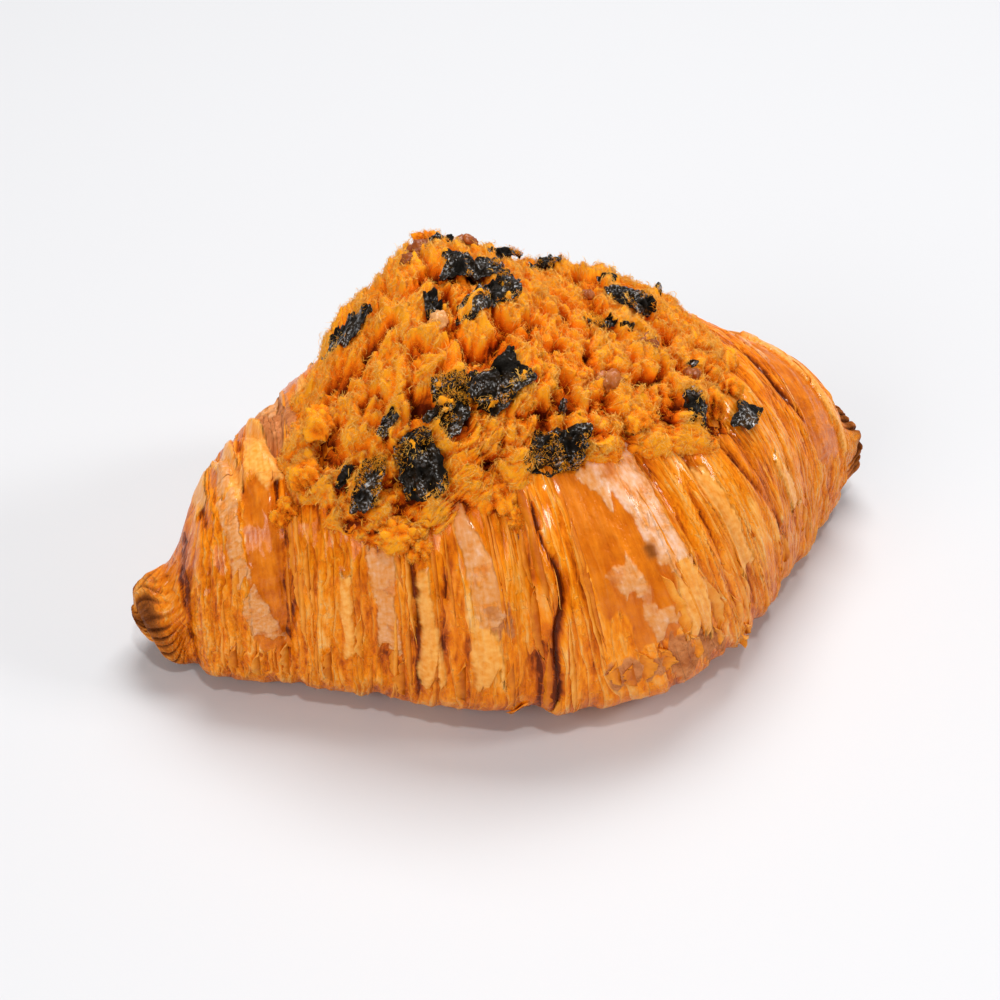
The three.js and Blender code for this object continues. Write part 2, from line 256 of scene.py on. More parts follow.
def on_top(turn):
    """1 above the underside and 0 on it."""
    return smooth((np.sin(np.radians(turn)) - RELIEF_FROM) / RELIEF_OVER)


def step_up(beyond, fade, lip):
    """A step that rises to its edge over one length, and drops there over another."""
    return np.exp(np.minimum(0, beyond) / fade) * smooth(0.5 - beyond / lip)


def wrap_relief(along, turn, stray=0.0, wraps=WRAPS):
    """Steps of some wraps: each rises to its edge and drops into a narrow hollow."""
    place = wrap_place(along, turn) + stray
    height = np.zeros(np.shape(place))
    for at, faces, step in wraps:
        beyond = (place - at) * faces
        hollow = bell((beyond - WRAP_LIP) / WRAP_LIP)
        height += step * (WRAP_RISE * step_up(beyond, WRAP_FADE, WRAP_LIP) - WRAP_DIP * hollow)
    return height * on_top(turn)


def roll_point(along, turn, height):
    """Points of the roll in mm, at places along it and turns round it, a height above its plain form."""
    place = np.where(along < 0, along / LEFT_REACH, along / RIGHT_REACH)
    level = np.cos(np.radians(turn))
    rise = np.sin(np.radians(turn))
    side = 1 - (1 - BACK_SHARE) * np.clip(level * BACK_SLOPE + BACK_START, 0, 1)
    half = section_value(place, 1) * FRONT_HALF * side
    high = section_value(place, 2) * CRUST_HEIGHT
    lift = section_value(place, 3)
    middle = lift + (high - lift) * (WIDEST_AT + WIDEST_RISE * place ** 4)
    above = rise > 0
    reach = np.where(above, high - middle, (middle - lift) * UNDERSIDE_DEPTH)
    power = np.where(above, ROUND_ABOVE, ROUND_BELOW)
    radius = ((np.abs(level) / half) ** power + (np.abs(rise) / reach) ** power) ** (-1 / power) + height
    end = np.where(place < 0, LEFT_REACH, RIGHT_REACH)
    to_tip = np.clip((end - np.abs(along)) / STUB_LENGTH, 0, 1)
    fan = FAN_ANGLE * place * np.sqrt(to_tip)
    across = radius * level
    x = along - across * np.sin(fan)
    y = across * np.cos(fan) - SPINE_BOW * (1 - place ** 2)
    z = np.maximum(np.maximum(middle + radius * rise, lift - np.maximum(height, 0)), 0)
    return np.stack([x, y, z], -1)


# The plain form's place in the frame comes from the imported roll's own box
roll_low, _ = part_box("croissant")
plain_along, plain_turn = np.meshgrid(np.linspace(-LEFT_REACH, RIGHT_REACH, 120), np.arange(0, 360, 3))
plain = roll_point(plain_along, plain_turn, wrap_relief(plain_along, plain_turn))
FRAME_SHIFT = np.array([
    roll_low.x / MM - plain[..., 0].min(),
    roll_low.y / MM - plain[..., 1].min(),
    0.0,
])


def skin_mask(skins, wrap, turn, seed):
    """Where any of some skins lies, from 0 to 1: its sides waver and its ends are torn into teeth."""
    waver = 0.5 * noise(turn / 9, wrap / 6, seed) + 0.3 * noise(turn / 2.6, wrap / 2, seed + 1)
    teeth = 3.0 * noise(wrap / 1.3, turn / 30, seed + 2) + 0.8 * noise(wrap / 0.7, turn / 3, seed + 3)
    mask = np.zeros(np.shape(wrap))
    for start, stop, left_0, right_0, left_1, right_1 in skins:
        share = np.clip((turn - start) / (stop - start), 0, 1)
        left = left_0 + (left_1 - left_0) * share
        right = right_0 + (right_1 - right_0) * share
        sides = np.minimum(wrap - left, right - wrap) + waver
        ends = np.minimum(turn - start, stop - turn) * MM_PER_DEGREE + teeth
        mask = np.maximum(mask, smooth(np.minimum(sides, ends) / SKIN_EDGE + 0.5))
    return mask


def sheets(line, turn, spacing, seed):
    """Overlapping plies as a sawtooth: their height, painted highlights on their edges, painted shade in
    their gaps.
    """
    drift = 0.9 * noise(line / (4 * spacing), turn / 60, seed)
    drift += 0.22 * noise(line / (1.5 * spacing), turn / 17, seed + 1)
    phase = line / spacing + drift
    number = np.floor(phase)
    share = phase - number
    strength = smooth(0.55 + 0.9 * noise(number * 3.7, turn / 10, seed + 2))
    height = (share * smooth((1 - share) / 0.16) - 0.3) * strength
    edge_highlight = bell((share - 0.82) / 0.1) * strength
    shaded_gap = bell(np.minimum(share, 1 - share) / 0.08) * strength
    return height, edge_highlight, shaded_gap


def wrap_grooves(place, turn):
    """The narrow gap beyond the edge of each wrap, deeper in some places than in others, dented with painted
    shade.
    """
    grooves = np.zeros(np.shape(place))
    for number, (at, faces, step) in enumerate(WRAPS + NECKS):
        beyond = (place - at) * faces
        depth = 0.65 + 0.5 * noise(turn / 22, number * 1.7, 19)
        grooves += bell((beyond - GROOVE_AT) / GROOVE_WIDTH) * depth * min(step, 1.0)
    return grooves


def creases_with_painted_shade(wrap, turn):
    """How deep the creases are at each place, from 0 to about 1, dented and darkened with painted shade."""
    deep = np.zeros(np.shape(wrap))
    for turns, places in CREASES:
        away = wrap - np.interp(turn, turns, places)
        along_it = smooth((turn - turns[0]) / CREASE_FADE + 0.5)
        along_it = along_it * smooth((turns[-1] - turn) / CREASE_FADE + 0.5)
        depth = 0.75 + 0.5 * noise(turn / 11, places[0], 85)
        deep = np.maximum(deep, bell(away / CREASE_WIDTH) * along_it * depth)
    return deep


def lobes(wrap, turn):
    """Rolled edges on the left shoulder: their height, and the gap beyond each, dented and given painted
    shade.
    """
    height = np.zeros(np.shape(wrap))
    shaded_gap = np.zeros(np.shape(wrap))
    for at, start, slant, step in LOBES:
        beyond = at + slant * (turn - start) - wrap
        height += step * (step_up(beyond, LOBE_FADE, LOBE_LIP) - 0.5 * bell(beyond - LOBE_LIP))
        shaded_gap += bell((beyond - 0.9) / 0.6)
    fade = bell((turn - LOBE_TURN) / LOBE_SPREAD)
    return height * fade, shaded_gap * fade


def skins_at(wrap, turn):
    """Where each kind of skin lies, from 0 to 1."""
    behind = 1 - smooth((turn - FRONT_FROM) / 10)
    masks = {}
    for kind, skins in SKINS.items():
        masks[kind] = skin_mask(skins, wrap, turn, SKIN_SEEDS[kind])
    for kind, (width, length, seed, rareness) in SKINS_BEHIND.items():
        strewn = smooth((noise(wrap / width, turn / length, seed) - rareness) / 0.2)
        masks[kind] = np.maximum(masks[kind], behind * strewn)
    return masks


def front_fold(wrap, turn):
    """The deep fold in front: its depth, the ply that laps over it, and the shade on that ply's edge."""
    opened = smooth((turn - FOLD_FROM) / FOLD_OPENS) * smooth((FOLD_TO - turn) / FOLD_CLOSES)
    beyond = wrap - FOLD_AT + 0.5 * noise(turn / 9, 0.5, 57) - 1.6 * bell((turn - 160) / 7)
    fold = bell(beyond / (0.25 + 0.4 * bell((turn - 162) / 8))) * opened
    lap = smooth((beyond + LAP_WIDTH) / LAP_WIDTH) * (beyond < 0) * opened
    return fold, lap, lap * smooth((beyond + LAP_EDGE) / LAP_EDGE)


def tips(along, turn, spread):
    """The pinched tips: where they lie, fanned creases, relief, tone and char, painted shade in the creases.
    """
    level = np.arcsin(np.sin(np.radians(turn))) * 2 / math.pi * spread  # 1 at the top of a tip, -1 below
    wander = noise(along / 5, 3 * level, 51)
    out = 0.4 + 0.6 * smooth((-71 - along) / 9)  # the left one's creases fan out from its neck
    fanned = np.where(along < 0, PINCH_LEVEL + (level - PINCH_LEVEL) / out, level)
    phase = TIP_CREASES * fanned + 1.5 * noise(2.3 * fanned, along / 14, 52)
    number = np.round(phase)
    crease = bell((phase - number) / 0.15) * (0.65 + 0.45 * noise(number * 3.7, along / 5, 56))
    to_end = np.where(along < 0, smooth((-73.5 - along) / 6.5), smooth((along - 69) / 8))
    height = 0.6 * wander * to_end - 1.5 * crease * (0.15 + 0.85 * to_end)
    height += 0.25 * noise(along / 1.1, turn / 5, 86) * to_end
    # How charred a place is, with painted shade added in the creases
    shade = 0.3 + 0.8 * crease - 0.25 * wander + 0.2 * smooth((level - 0.2) / 0.3)
    return {
        "there": np.maximum(smooth((STUB_FROM - along) / TIP_BLEND), smooth((along - TIP_FROM) / TIP_BLEND)),
        "neck": bell((along - STUB_NECK) / NECK_WIDTH) + bell((along - TIP_NECK) / NECK_WIDTH),
        "to_end": to_end,
        "crease": crease,
        "height": height,
        # Tone, darker in the creases as painted shade
        "ply": 0.56 + 0.25 * wander - 0.4 * crease,
        "char": np.clip(to_end * shade, 0, 0.8),
    }


def dough(along, turn, spread=1.0):
    """The baked surface: its height over the plain form in mm, and where each finish lies."""
    top = on_top(turn)
    stray = 0.8 * noise(turn / 12, along / 40, 11) + 0.35 * noise(turn / 3.5, along / 12, 12)
    wrap = wrap_place(along, turn)
    outward = np.where(wrap < EDGES_TURN_AT, -wrap, wrap)
    line = outward + 0.9 * noise(turn / 22, wrap / 12, 13) + 0.16 * noise(turn / 7, wrap / 4, 14)
    lobe, lobe_gap = lobes(wrap + 0.6 * stray, turn)
    groove = wrap_grooves(wrap + stray, turn) + lobe_gap + 1.2 * creases_with_painted_shade(wrap + 0.4 * stray, turn)
    fold, lap, lap_shade = front_fold(wrap, turn)
    tip = tips(along, turn, spread)
    ends = tip["there"]
    skin = skins_at(wrap, turn)
    pale, golden, glazed, bare = (skin[kind] for kind in ("pale", "golden", "glazed", "bare"))

    plies = 0.0
    # The plies' tone, darkened as painted shade in the grooves, creases and fold and on the lapping ply's
    # edge
    ply = 0.5 - 0.42 * groove - 0.9 * fold - 0.3 * lap_shade
    for spacing, seed, high, light, dark in PLIES:
        rise, edge_highlight, shaded_gap = sheets(line, turn, spacing, seed)
        plies = plies + high * rise
        # Painted highlights on the plies' edges and painted shade in the gaps beyond them
        ply += light * edge_highlight - dark * shaded_gap
    for width, length, seed, high, light in DABS:
        dab = noise(line / width, turn / length, seed)
        plies = plies + high * dab
        ply += light * dab
    plies *= (1 - 0.85 * glazed) * (1 - 0.75 * pale) * (1 - 0.6 * golden) * (1 - 0.6 * bare)
    skins = 0.25 * glazed + 0.15 * bare
    skins += 0.55 * smooth((pale - 0.3) / 0.4) + 0.8 * smooth((golden - 0.3) / 0.4)
    rough = 0.4 * noise(along / 1.3, turn / 2.4, 54) * np.maximum(bare, 0.15 * pale)
    swell = 0.8 * noise(along / 15, turn / 38, 53)

    height = wrap_relief(along, turn, stray, WRAPS + NECKS) + lobe
    height -= top * (0.7 * groove + 0.5 * tip["neck"])
    height += top * ((plies + skins + rough) * (1 - ends) + tip["height"] * ends)
    height += top * (swell + 0.8 * lap - FOLD_DEPTH * fold)
    char = np.maximum(ends * tip["char"], 0.35 * (1 - top))
    for at, middle, half_wide, half_turns, depth in SCORCHES:
        away = np.hypot((wrap - at) / half_wide, (turn - middle) / half_turns)
        char = np.maximum(char, depth * bell(away + 0.3 * dab))  # the finest dabs fray its outline
    return {
        "height": height,
        "wrap": wrap,
        "turn": turn,
        "crease": tip["crease"],
        # The necks' darker tone is painted shade in their grooves
        "ply": np.where(ends > 0.5, tip["ply"], ply) - 0.3 * tip["neck"],
        "pale": pale * (1 - ends),
        "golden": golden * (1 - ends),
        "glazed": np.maximum(glazed * (1 - ends), 0.6 * ends * (1 - tip["to_end"])),
        "bare": bare * (1 - ends),
        "frosted": skin["frosted"],
        "char": char,
    }


def select_only(piece):
    bpy.ops.object.select_all(action="DESELECT")
    piece.select_set(True)
    bpy.context.view_layer.objects.active = piece


def add_grid(name, cells_across, cells_along):
    """A flat grid two units wide and long, and its points' places on it from -1 to 1."""
    bpy.ops.object.select_all(action="DESELECT")
    bpy.ops.mesh.primitive_grid_add(x_subdivisions=cells_across, y_subdivisions=cells_along, size=2)
    piece = bpy.context.object
    piece.name = name
    piece.data.name = name
    return piece, *read_points(piece)[:, :2].T


def read_points(piece):
    points = np.zeros(len(piece.data.vertices) * 3)
    piece.data.vertices.foreach_get("co", points)
    return points.reshape(-1, 3)


def place_points(piece, points_mm):
    """Puts a mesh's points at places in mm of the roll's own form."""
    points = (points_mm + FRAME_SHIFT) * MM
    piece.data.vertices.foreach_set("co", points.ravel())
    piece.data.update()


def add_field(piece, name, values):
    field = piece.data.attributes.new(name, "FLOAT", "POINT")
    field.data.foreach_set("value", np.asarray(values, np.float32))


def close_skin(piece):
    """Joins the two sides of a rolled grid that meet, and the points that lie together at its ends."""
    select_only(piece)
    bpy.ops.object.mode_set(mode="EDIT")
    bpy.ops.mesh.select_all(action="SELECT")
    bpy.ops.mesh.remove_doubles(threshold=1e-7)
    bpy.ops.object.mode_set(mode="OBJECT")


def finish_piece(piece, material):
    """Shades a piece smoothly and gives it its material."""
    select_only(piece)
    bpy.ops.object.shade_smooth()
    piece.data.materials.append(material)


class Wire:
    """An output of a shader node. Sums and products of wires add Math nodes."""

    tree = None

    def __init__(self, socket):
        self.socket = socket

    @staticmethod
    def add(kind, settings, inputs, output=0):
        node = Wire.tree.nodes.new("ShaderNode" + kind)
        for name, value in settings.items():
            if name == "stops":
                Wire.set_stops(node.color_ramp, value)
            else:
                setattr(node, name, value)
        for name, value in inputs.items():
            if isinstance(value, Wire):
                Wire.tree.links.new(value.socket, node.inputs[name])
            else:
                node.inputs[name].default_value = value
        return Wire(node.outputs[output]) if len(node.outputs) else None

    @staticmethod
    def set_stops(ramp, stops):
        while len(ramp.elements) < len(stops):
            ramp.elements.new(1.0)
        for element, (position, colour) in zip(ramp.elements, stops):
            element.position = position
            element.color = (*colour, 1)

    def maths(self, operation, other, turned=False):
        pair = (other, self) if turned else (self, other)
        return Wire.add("Math", {"operation": operation}, dict(enumerate(pair)))

    def __add__(self, other):
        return self.maths("ADD", other)

    __radd__ = __add__

    def __sub__(self, other):
        return self.maths("SUBTRACT", other)

    def __rsub__(self, other):
        return self.maths("SUBTRACT", other, turned=True)

    def __mul__(self, other):
        return self.maths("MULTIPLY", other)

    __rmul__ = __mul__

    def between(self, low, high):
        """0 below low, 1 above high and smooth in between."""
        inputs = {"Value": self, "From Min": low, "From Max": high}
        return Wire.add("MapRange", {"interpolation_type": "SMOOTHSTEP"}, inputs)


def field(name):
    return Wire.add("Attribute", {"attribute_name": name}, {}, "Fac")


def object_place():
    return Wire.add("TexCoord", {}, {}, "Object")


def grain(place, scale, detail=2.0, roughness=0.5, distortion=0.0):
    inputs = {"Vector": place, "Scale": scale, "Detail": detail, "Roughness": roughness,
              "Distortion": distortion}
    return Wire.add("TexNoise", {}, inputs)


def layered(mask, under, over):
    """One colour laid over another where the mask is 1."""
    inputs = {0: mask, 6: under, 7: over}
    return Wire.add("Mix", {"data_type": "RGBA", "clamp_factor": True}, inputs, 2)


def ramp(value, stops):
    return Wire.add("ValToRGB", {"stops": stops}, {"Fac": value})


def bumped(height, strength, distance):
    inputs = {"Height": height, "Strength": strength, "Distance": distance}
    return Wire.add("Bump", {}, inputs)


def start_finish(name):
    material = bpy.data.materials.new(name)
    material.use_nodes = True
    material.node_tree.nodes.clear()
    Wire.tree = material.node_tree
    return material


def end_finish(inputs):
    surface = Wire.add("BsdfPrincipled", {}, inputs)
    Wire.add("OutputMaterial", {}, {"Surface": surface})


# Colours of the crust's finishes, each from its darkest tone to its lightest
# The plies' darkest stops are painted shade in grooves, creases and the fold; the lightest painted
# highlights.
BAKED_PLIES = [
    (0.0, (0.14, 0.018, 0.001)),
    (0.2, (0.48, 0.08, 0.001)),
    (0.42, (0.8, 0.18, 0.001)),
    (0.62, (0.96, 0.28, 0.006)),
    (0.88, (1.0, 0.44, 0.08)),
    (1.0, (1.0, 0.53, 0.17)),
]
CARAMEL = [(0.3, (0.5, 0.085, 0.001)), (0.68, (0.84, 0.22, 0.008))]
CLAY = [(0.35, (0.4, 0.1, 0.02)), (0.65, (0.72, 0.27, 0.09))]
HONEY = [(0.3, (0.9, 0.31, 0.03)), (0.7, (1.0, 0.5, 0.12))]
# The biscuit colour's lightest stop is painted sheen, on the glossier pale patch
BISCUIT = [(0.35, (0.76, 0.26, 0.045)), (0.55, (0.81, 0.37, 0.14)), (0.85, (0.92, 0.61, 0.44))]
# The scorched colour also serves as painted shade in the tips' creases
SCORCHED_AND_SHADED = [(0.25, (0.5, 0.14, 0.02)), (0.85, (0.13, 0.03, 0.006))]


def crust_place(across, along, apart):
    """Coordinates that follow the plies, scaled across and along them, in a layer of noise of its own."""
    inputs = {"X": field("wrap") * across, "Y": field("turn") * along, "Z": apart}
    return Wire.add("CombineXYZ", {}, inputs)


def crust_finish():
    """Amber stripes with painted shade in creases and painted highlights, smooth glazed skins, pale torn
    ones, charred tips.
    """
    material = start_finish("baked_crust")
    streaks = crust_place(1.0, 0.11, 0.0)
    dashes = crust_place(1.0, 0.2, 7.0)
    patches = crust_place(0.8, 0.5, 3.0)
    hair = grain(streaks, 1.9, 2.0, 0.45)
    dabs = grain(streaks, 0.9, 2.0, 0.4, 0.3)
    fleck_and_glint = grain(dashes, 2.1, 2.0, 0.55, 0.4)
    strand = grain(dashes, 0.5, 2.0, 0.5, 0.3)
    blotch = grain(patches, 0.36, 4.0, 0.55)
    speck = grain(patches, 1.6, 2.0, 0.5)
    # Small blisters, raised in the bump and lightened in the colour as painted glints
    blister_and_glint = grain(patches, 1.9, 2.0, 0.5).between(0.58, 0.7)

    # Leaves of the plies, drawn as a sawtooth across the wraps that fades in and out
    fades = grain(patches, 0.2, 2.0).between(0.4, 0.56)
    outward = Wire.add("Math", {"operation": "ABSOLUTE"}, {0: field("wrap") - EDGES_TURN_AT})
    wobble = (grain(streaks, 0.3, 2.0) - 0.5) * 4.0 + (grain(patches, 0.2, 1.0) - 0.5) * 1.2
    leaf = Wire.add("Math", {"operation": "FRACT"}, {0: outward * 0.75 + wobble})
    # Painted highlights on the leaves' edges, where the coat is also glossier, and painted shade in the gaps
    edges = leaf.between(0.5, 0.97) * (0.05 + fades * 0.17)
    gap_shade = (1 - leaf.between(0.0, 0.3)) * (0.04 + fades * 0.1)
    ridge = leaf * (1 - leaf.between(0.8, 1.0))

    tone = field("ply") + edges - gap_shade + blister_and_glint * 0.13
    # Grain of the plies; the light flecks are painted glints, besides the gloss and bump they also give
    weights = [(hair, 0.22), (speck, 0.14), (fleck_and_glint, 0.6), (dabs, 0.4), (strand, 0.4), (blotch, 0.32)]
    for pattern, weight in weights:
        tone = tone + (pattern - 0.5) * weight
    colour = ramp(tone, BAKED_PLIES)

    # Skins over the plies, whose edges are torn along the specks and blotches
    torn = (speck - 0.5) * 0.6 + (blotch - 0.5) * 0.4
    glazed = (field("glazed") + torn * 0.5).between(0.3, 0.7)
    bare = (field("bare") + torn).between(0.3, 0.7)
    golden = (field("golden") + torn * 0.6).between(0.2, 0.75)
    pale = (field("pale") + torn * 0.7).between(0.3, 0.65) * (0.4 + 0.6 * blotch.between(0.35, 0.5))
    frosted = field("frosted") * blotch.between(0.35, 0.6)
    burnt_and_shaded = field("char") + (blotch - 0.5) * 0.3
    char = burnt_and_shaded.between(0.05, 0.6)
    # Skins laid over the plies; the glossier pale patch is lightened as painted sheen, and the scorched
    # colour also paints shade into the tips' creases
    layers = [
        (glazed * 0.9, blotch * 0.7 + dabs * 0.3 + (hair - 0.5) * 0.3, CARAMEL),
        (bare, blotch * 0.6 + speck * 0.4, CLAY),
        (golden * 0.85, speck + (hair - 0.5) * 0.4, HONEY),
        (pale * 0.92, speck * 0.6 + hair * 0.4 + frosted * 0.25, BISCUIT),
        (char, burnt_and_shaded, SCORCHED_AND_SHADED),
    ]
    for mask, shade, stops in layers:
        colour = layered(mask, colour, ramp(shade, stops))

    dry = Wire.add("Math", {"operation": "MAXIMUM"}, {0: pale * (1 - frosted), 1: bare})
    roughness = 0.34 + (hair - 0.5) * 0.2 + dry * 0.25 + char * 0.25 - glazed * 0.16
    coat = 0.16 + edges * 1.2 + glazed * 0.08 + fleck_and_glint.between(0.55, 0.7) * 0.3
    open_plies = (1 - glazed) * (1 - pale * 0.9) * (1 - golden * 0.8)
    relief = (hair * 0.3 + fleck_and_glint * 0.6 + ridge * 0.7 + dabs * 0.8 + blister_and_glint * 0.3) * open_plies
    relief = relief + speck * (0.15 + 0.4 * dry) + (blotch * 1.6 + hair * 0.3) * glazed
    end_finish({
        "Base Color": colour,
        "Roughness": roughness,
        "Coat Weight": coat * (1 - dry * 0.8) * (1 - char),
        "Coat Roughness": 0.09,
        "Specular IOR Level": 0.1,
        "Specular Tint": (1.0, 0.6, 0.25, 1),
        "Normal": bumped(relief, 0.8, 0.0007),
    })
    return material


CRUST_ROUND = 232
CRUST_RINGS = 424
CAP_RINGS = 9  # rings that close each tip
CAP_BULGE = 1.6
CAP_CREASE = 1.1
STUB_BENDS_FROM = -70.0
STUB_SLANT = 0.3  # mm by which the left tip's end leans outwards for each mm above STUB_MIDDLE
STUB_MIDDLE = 10.0
STUB_DROPS_FROM = -72.5
STUB_DROP = 0.17  # share of its height by which the left tip's end hangs lower
UNDER_SPACING = 17  # degrees by which the points crowd on top and spread below


def build_crust():
    piece, across, around = add_grid("crust", CRUST_RINGS, CRUST_ROUND)
    turn = 180 * around + 90
    turn = turn + UNDER_SPACING * np.cos(np.radians(turn))
    ring = np.round((across + 1) / 2 * CRUST_RINGS)
    inner = np.clip((ring - CAP_RINGS) / (CRUST_RINGS - 2 * CAP_RINGS), 0, 1)
    along = RIGHT_REACH - (LEFT_REACH + RIGHT_REACH) * inner
    cap = np.clip(np.minimum(ring, CRUST_RINGS - ring) / CAP_RINGS, 0, 1)
    spread = np.sin(0.5 * math.pi * cap)
    fields = dough(along, turn, spread)
    points = roll_point(along, turn, fields["height"])
    for end, sign in ((along >= RIGHT_REACH, 1), (along <= -LEFT_REACH, -1)):
        middle = points[end & (cap == 1)].mean(0)
        points[end] = middle + (points[end] - middle) * spread[end][:, None]
        bulge = CAP_BULGE - CAP_CREASE * fields["crease"][end]
        points[end, 0] += sign * bulge * np.cos(0.5 * math.pi * cap[end])
    bent = smooth((STUB_BENDS_FROM - along) / 8)
    points[:, 0] -= STUB_SLANT * bent * (points[:, 2] - STUB_MIDDLE)
    points[:, 2] *= 1 - STUB_DROP * smooth((STUB_DROPS_FROM - along) / 5)
    place_points(piece, points)
    for name in ("wrap", "turn", "ply", "pale", "golden", "glazed", "bare", "frosted", "char"):
        add_field(piece, name, fields[name])
    close_skin(piece)
    finish_piece(piece, crust_finish())
    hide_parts("croissant")
    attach(piece, "root")


build_crust()

# The loose flakes
# Thin leaves of baked dough that came loose from the plies in the oven, most of them low down in front.
# Each still holds on along one edge, curls up at the other and is ragged all round.

# The larger ones: place across the wraps, turn, half length in degrees, width and lift in mm
FLAKES = [
    (-2, 170, 8, 1.7, 0.7), (3.5, 172, 9, 1.8, 0.8), (7.5, 178, 6, 1.4, 0.7), (-8, 179, 4, 1.4, 0.5),
    (2.5, 180, 3, 1.3, 0.8), (7.3, 186, 2.2, 2.0, 2.0), (8.6, 184, 2, 1.4, 1.4), (10.5, 175, 6, 1.4, 0.6),
    (-60, 188, 9, 1.8, 0.9), (-64, 184, 9, 1.8, 0.9), (-55, 186, 9, 1.6, 0.8), (-48, 184, 9, 1.5, 0.7),
    (-21, 191, 4, 2.0, 1.2), (-37, 184, 8, 1.5, 0.7), (-9.5, 181, 3, 1.5, 0.6), (-5.5, 179, 3, 1.6, 0.7),
    (-1.5, 178, 3.5, 1.5, 0.7), (-11, 179, 3, 1.3, 0.5),
    (-43, 172, 9, 1.4, 0.6), (-62.5, 147, 7, 1.2, 0.5), (16, 178, 7, 1.5, 0.8), (28, 174, 7, 1.4, 0.7),
    (39, 172, 7, 1.4, 0.7), (-19, 168, 9, 1.2, 0.5), (-29, 182, 7, 1.6, 0.8), (-50.5, 150, 12, 1.0, 0.4),
]
FLAKE_COUNT = 340
EDGE_SHARE = 0.35  # part of the small ones that lie along the wraps' edges
# Between which values the small ones are strewn, in the same measures
FLAKE_WRAPS = (-69, 63)
FLAKE_TURNS = (-8, 196)
FLAKE_HALF_TURNS = (5, 20)
FLAKE_WIDTHS = (0.4, 1.0)
FLAKE_LIFTS = (0.05, 0.4)
FLAKE_CELLS_LONG = 16
FLAKE_CELLS_WIDE = 2
FLAKE_THICKNESS = 0.1
LEAF_COLOURS = [(0.05, (0.6, 0.13, 0.003)), (0.4, (0.86, 0.27, 0.012)), (0.8, (0.98, 0.47, 0.09))]


def along_place(wrap, turn):
    """Place along the roll of a place across the wraps, closer with each round."""
    along = wrap
    for _ in range(8):
        along = wrap + along - wrap_place(along, turn)
    return along


def flake_rows():
    """The larger flakes and many small ones, strewn over the open plies."""
    random = np.random.default_rng(57)
    rows = [list(flake) for flake in FLAKES]
    edges = [at for at, _, _ in WRAPS]
    while len(rows) < FLAKE_COUNT:
        by_edge = random.uniform() < EDGE_SHARE
        wrap = random.choice(edges) + random.normal(0, 1.2) if by_edge else random.uniform(*FLAKE_WRAPS)
        turn = random.uniform(*FLAKE_TURNS)
        place = (np.array([wrap]), np.array([turn]))
        if skin_mask(SKINS["glazed"] + SKINS["pale"] + SKINS["bare"], *place, 31)[0] < 0.2:
            form = [random.uniform(*span) for span in (FLAKE_HALF_TURNS, FLAKE_WIDTHS, FLAKE_LIFTS)]
            rows.append([wrap, turn, *form])
    return np.array(rows)


def add_mesh(name, points_mm, faces):
    """A piece from arrays of points in mm and of faces."""
    mesh = bpy.data.meshes.new(name)
    mesh.from_pydata(((points_mm + FRAME_SHIFT) * MM).tolist(), [], faces.tolist())
    piece = bpy.data.objects.new(name, mesh)
    bpy.context.scene.collection.objects.link(piece)
    return piece


def sheet_faces(cells_long, cells_wide):
    """Faces of a sheet whose points run in rows along its length."""
    row = np.arange(cells_long)
    corner = (row[None] + (cells_long + 1) * np.arange(cells_wide)[:, None]).ravel()
    return np.stack([corner, corner + 1, corner + cells_long + 2, corner + cells_long + 1], 1)


def flake_finish():
    """The finish of a single baked leaf: amber where it holds on, pale gold at its free edge."""
    material = start_finish("crust_leaf")
    mottle = grain(object_place(), 420.0, 3.0, 0.6)
    tone = field("free") * 0.3 + field("tint") * 0.35 + (mottle - 0.5) * 0.8
    end_finish({
        "Base Color": ramp(tone, LEAF_COLOURS),
        "Roughness": 0.38,
        "Coat Weight": 0.1,
        "Specular IOR Level": 0.15,
        "Normal": bumped(mottle, 0.5, 0.0003),
    })
    return material


def thicken(piece, thickness_mm, offset):
    """Gives a sheet its thickness, on its inner side at an offset of -1 and on both sides at 0."""
    select_only(piece)
    solid = piece.modifiers.new("thickness", "SOLIDIFY")
    solid.thickness = thickness_mm * MM
    solid.offset = offset
    bpy.ops.object.modifier_apply(modifier="thickness")


def build_flakes():
    at, middle, half_turns, width, lift = flake_rows().T[:, :, None]
    numbers = np.arange(len(at))[:, None]
    u, v = np.meshgrid(np.linspace(-1, 1, FLAKE_CELLS_LONG + 1), np.linspace(0, 1, FLAKE_CELLS_WIDE + 1))
    u = u.ravel()[None]
    v = v.ravel()[None]
    ragged = 1 + 0.25 * noise(u * 2.5, numbers * 1.3, 58) + 0.25 * noise(u * 7.5, numbers * 2.3, 59)
    reach = width * v * ragged * np.sqrt(1.02 - np.abs(u) ** 2)
    facing = np.where(at < EDGES_TURN_AT, -1, 1)
    wrap = at + facing * (reach - 0.3 * width)
    turn = middle + half_turns * u * (1 - 0.25 * v) + 2 * v * noise(numbers * 0.7, 0.5, 60)
    along = along_place(wrap, turn)
    curl = v ** 1.5 * (0.75 + 0.5 * noise(u * 1.5, numbers * 3.1, 61))
    height = dough(along, turn)["height"] + lift * curl - 0.1 * (1 - v)
    points = roll_point(along, turn, height)
    faces = sheet_faces(FLAKE_CELLS_LONG, FLAKE_CELLS_WIDE)
    every = (faces[None] + u.size * numbers[:, :, None]).reshape(-1, 4)
    piece = add_mesh("crust_flakes", points.reshape(-1, 3), every)
    tint = np.random.default_rng(62).uniform(0, 1, (len(at), 1))
    add_field(piece, "free", (v + 0 * numbers).ravel())
    add_field(piece, "tint", (tint + 0 * v).ravel())
    thicken(piece, FLAKE_THICKNESS, -1)
    finish_piece(piece, flake_finish())
    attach(piece, "root")


build_flakes()

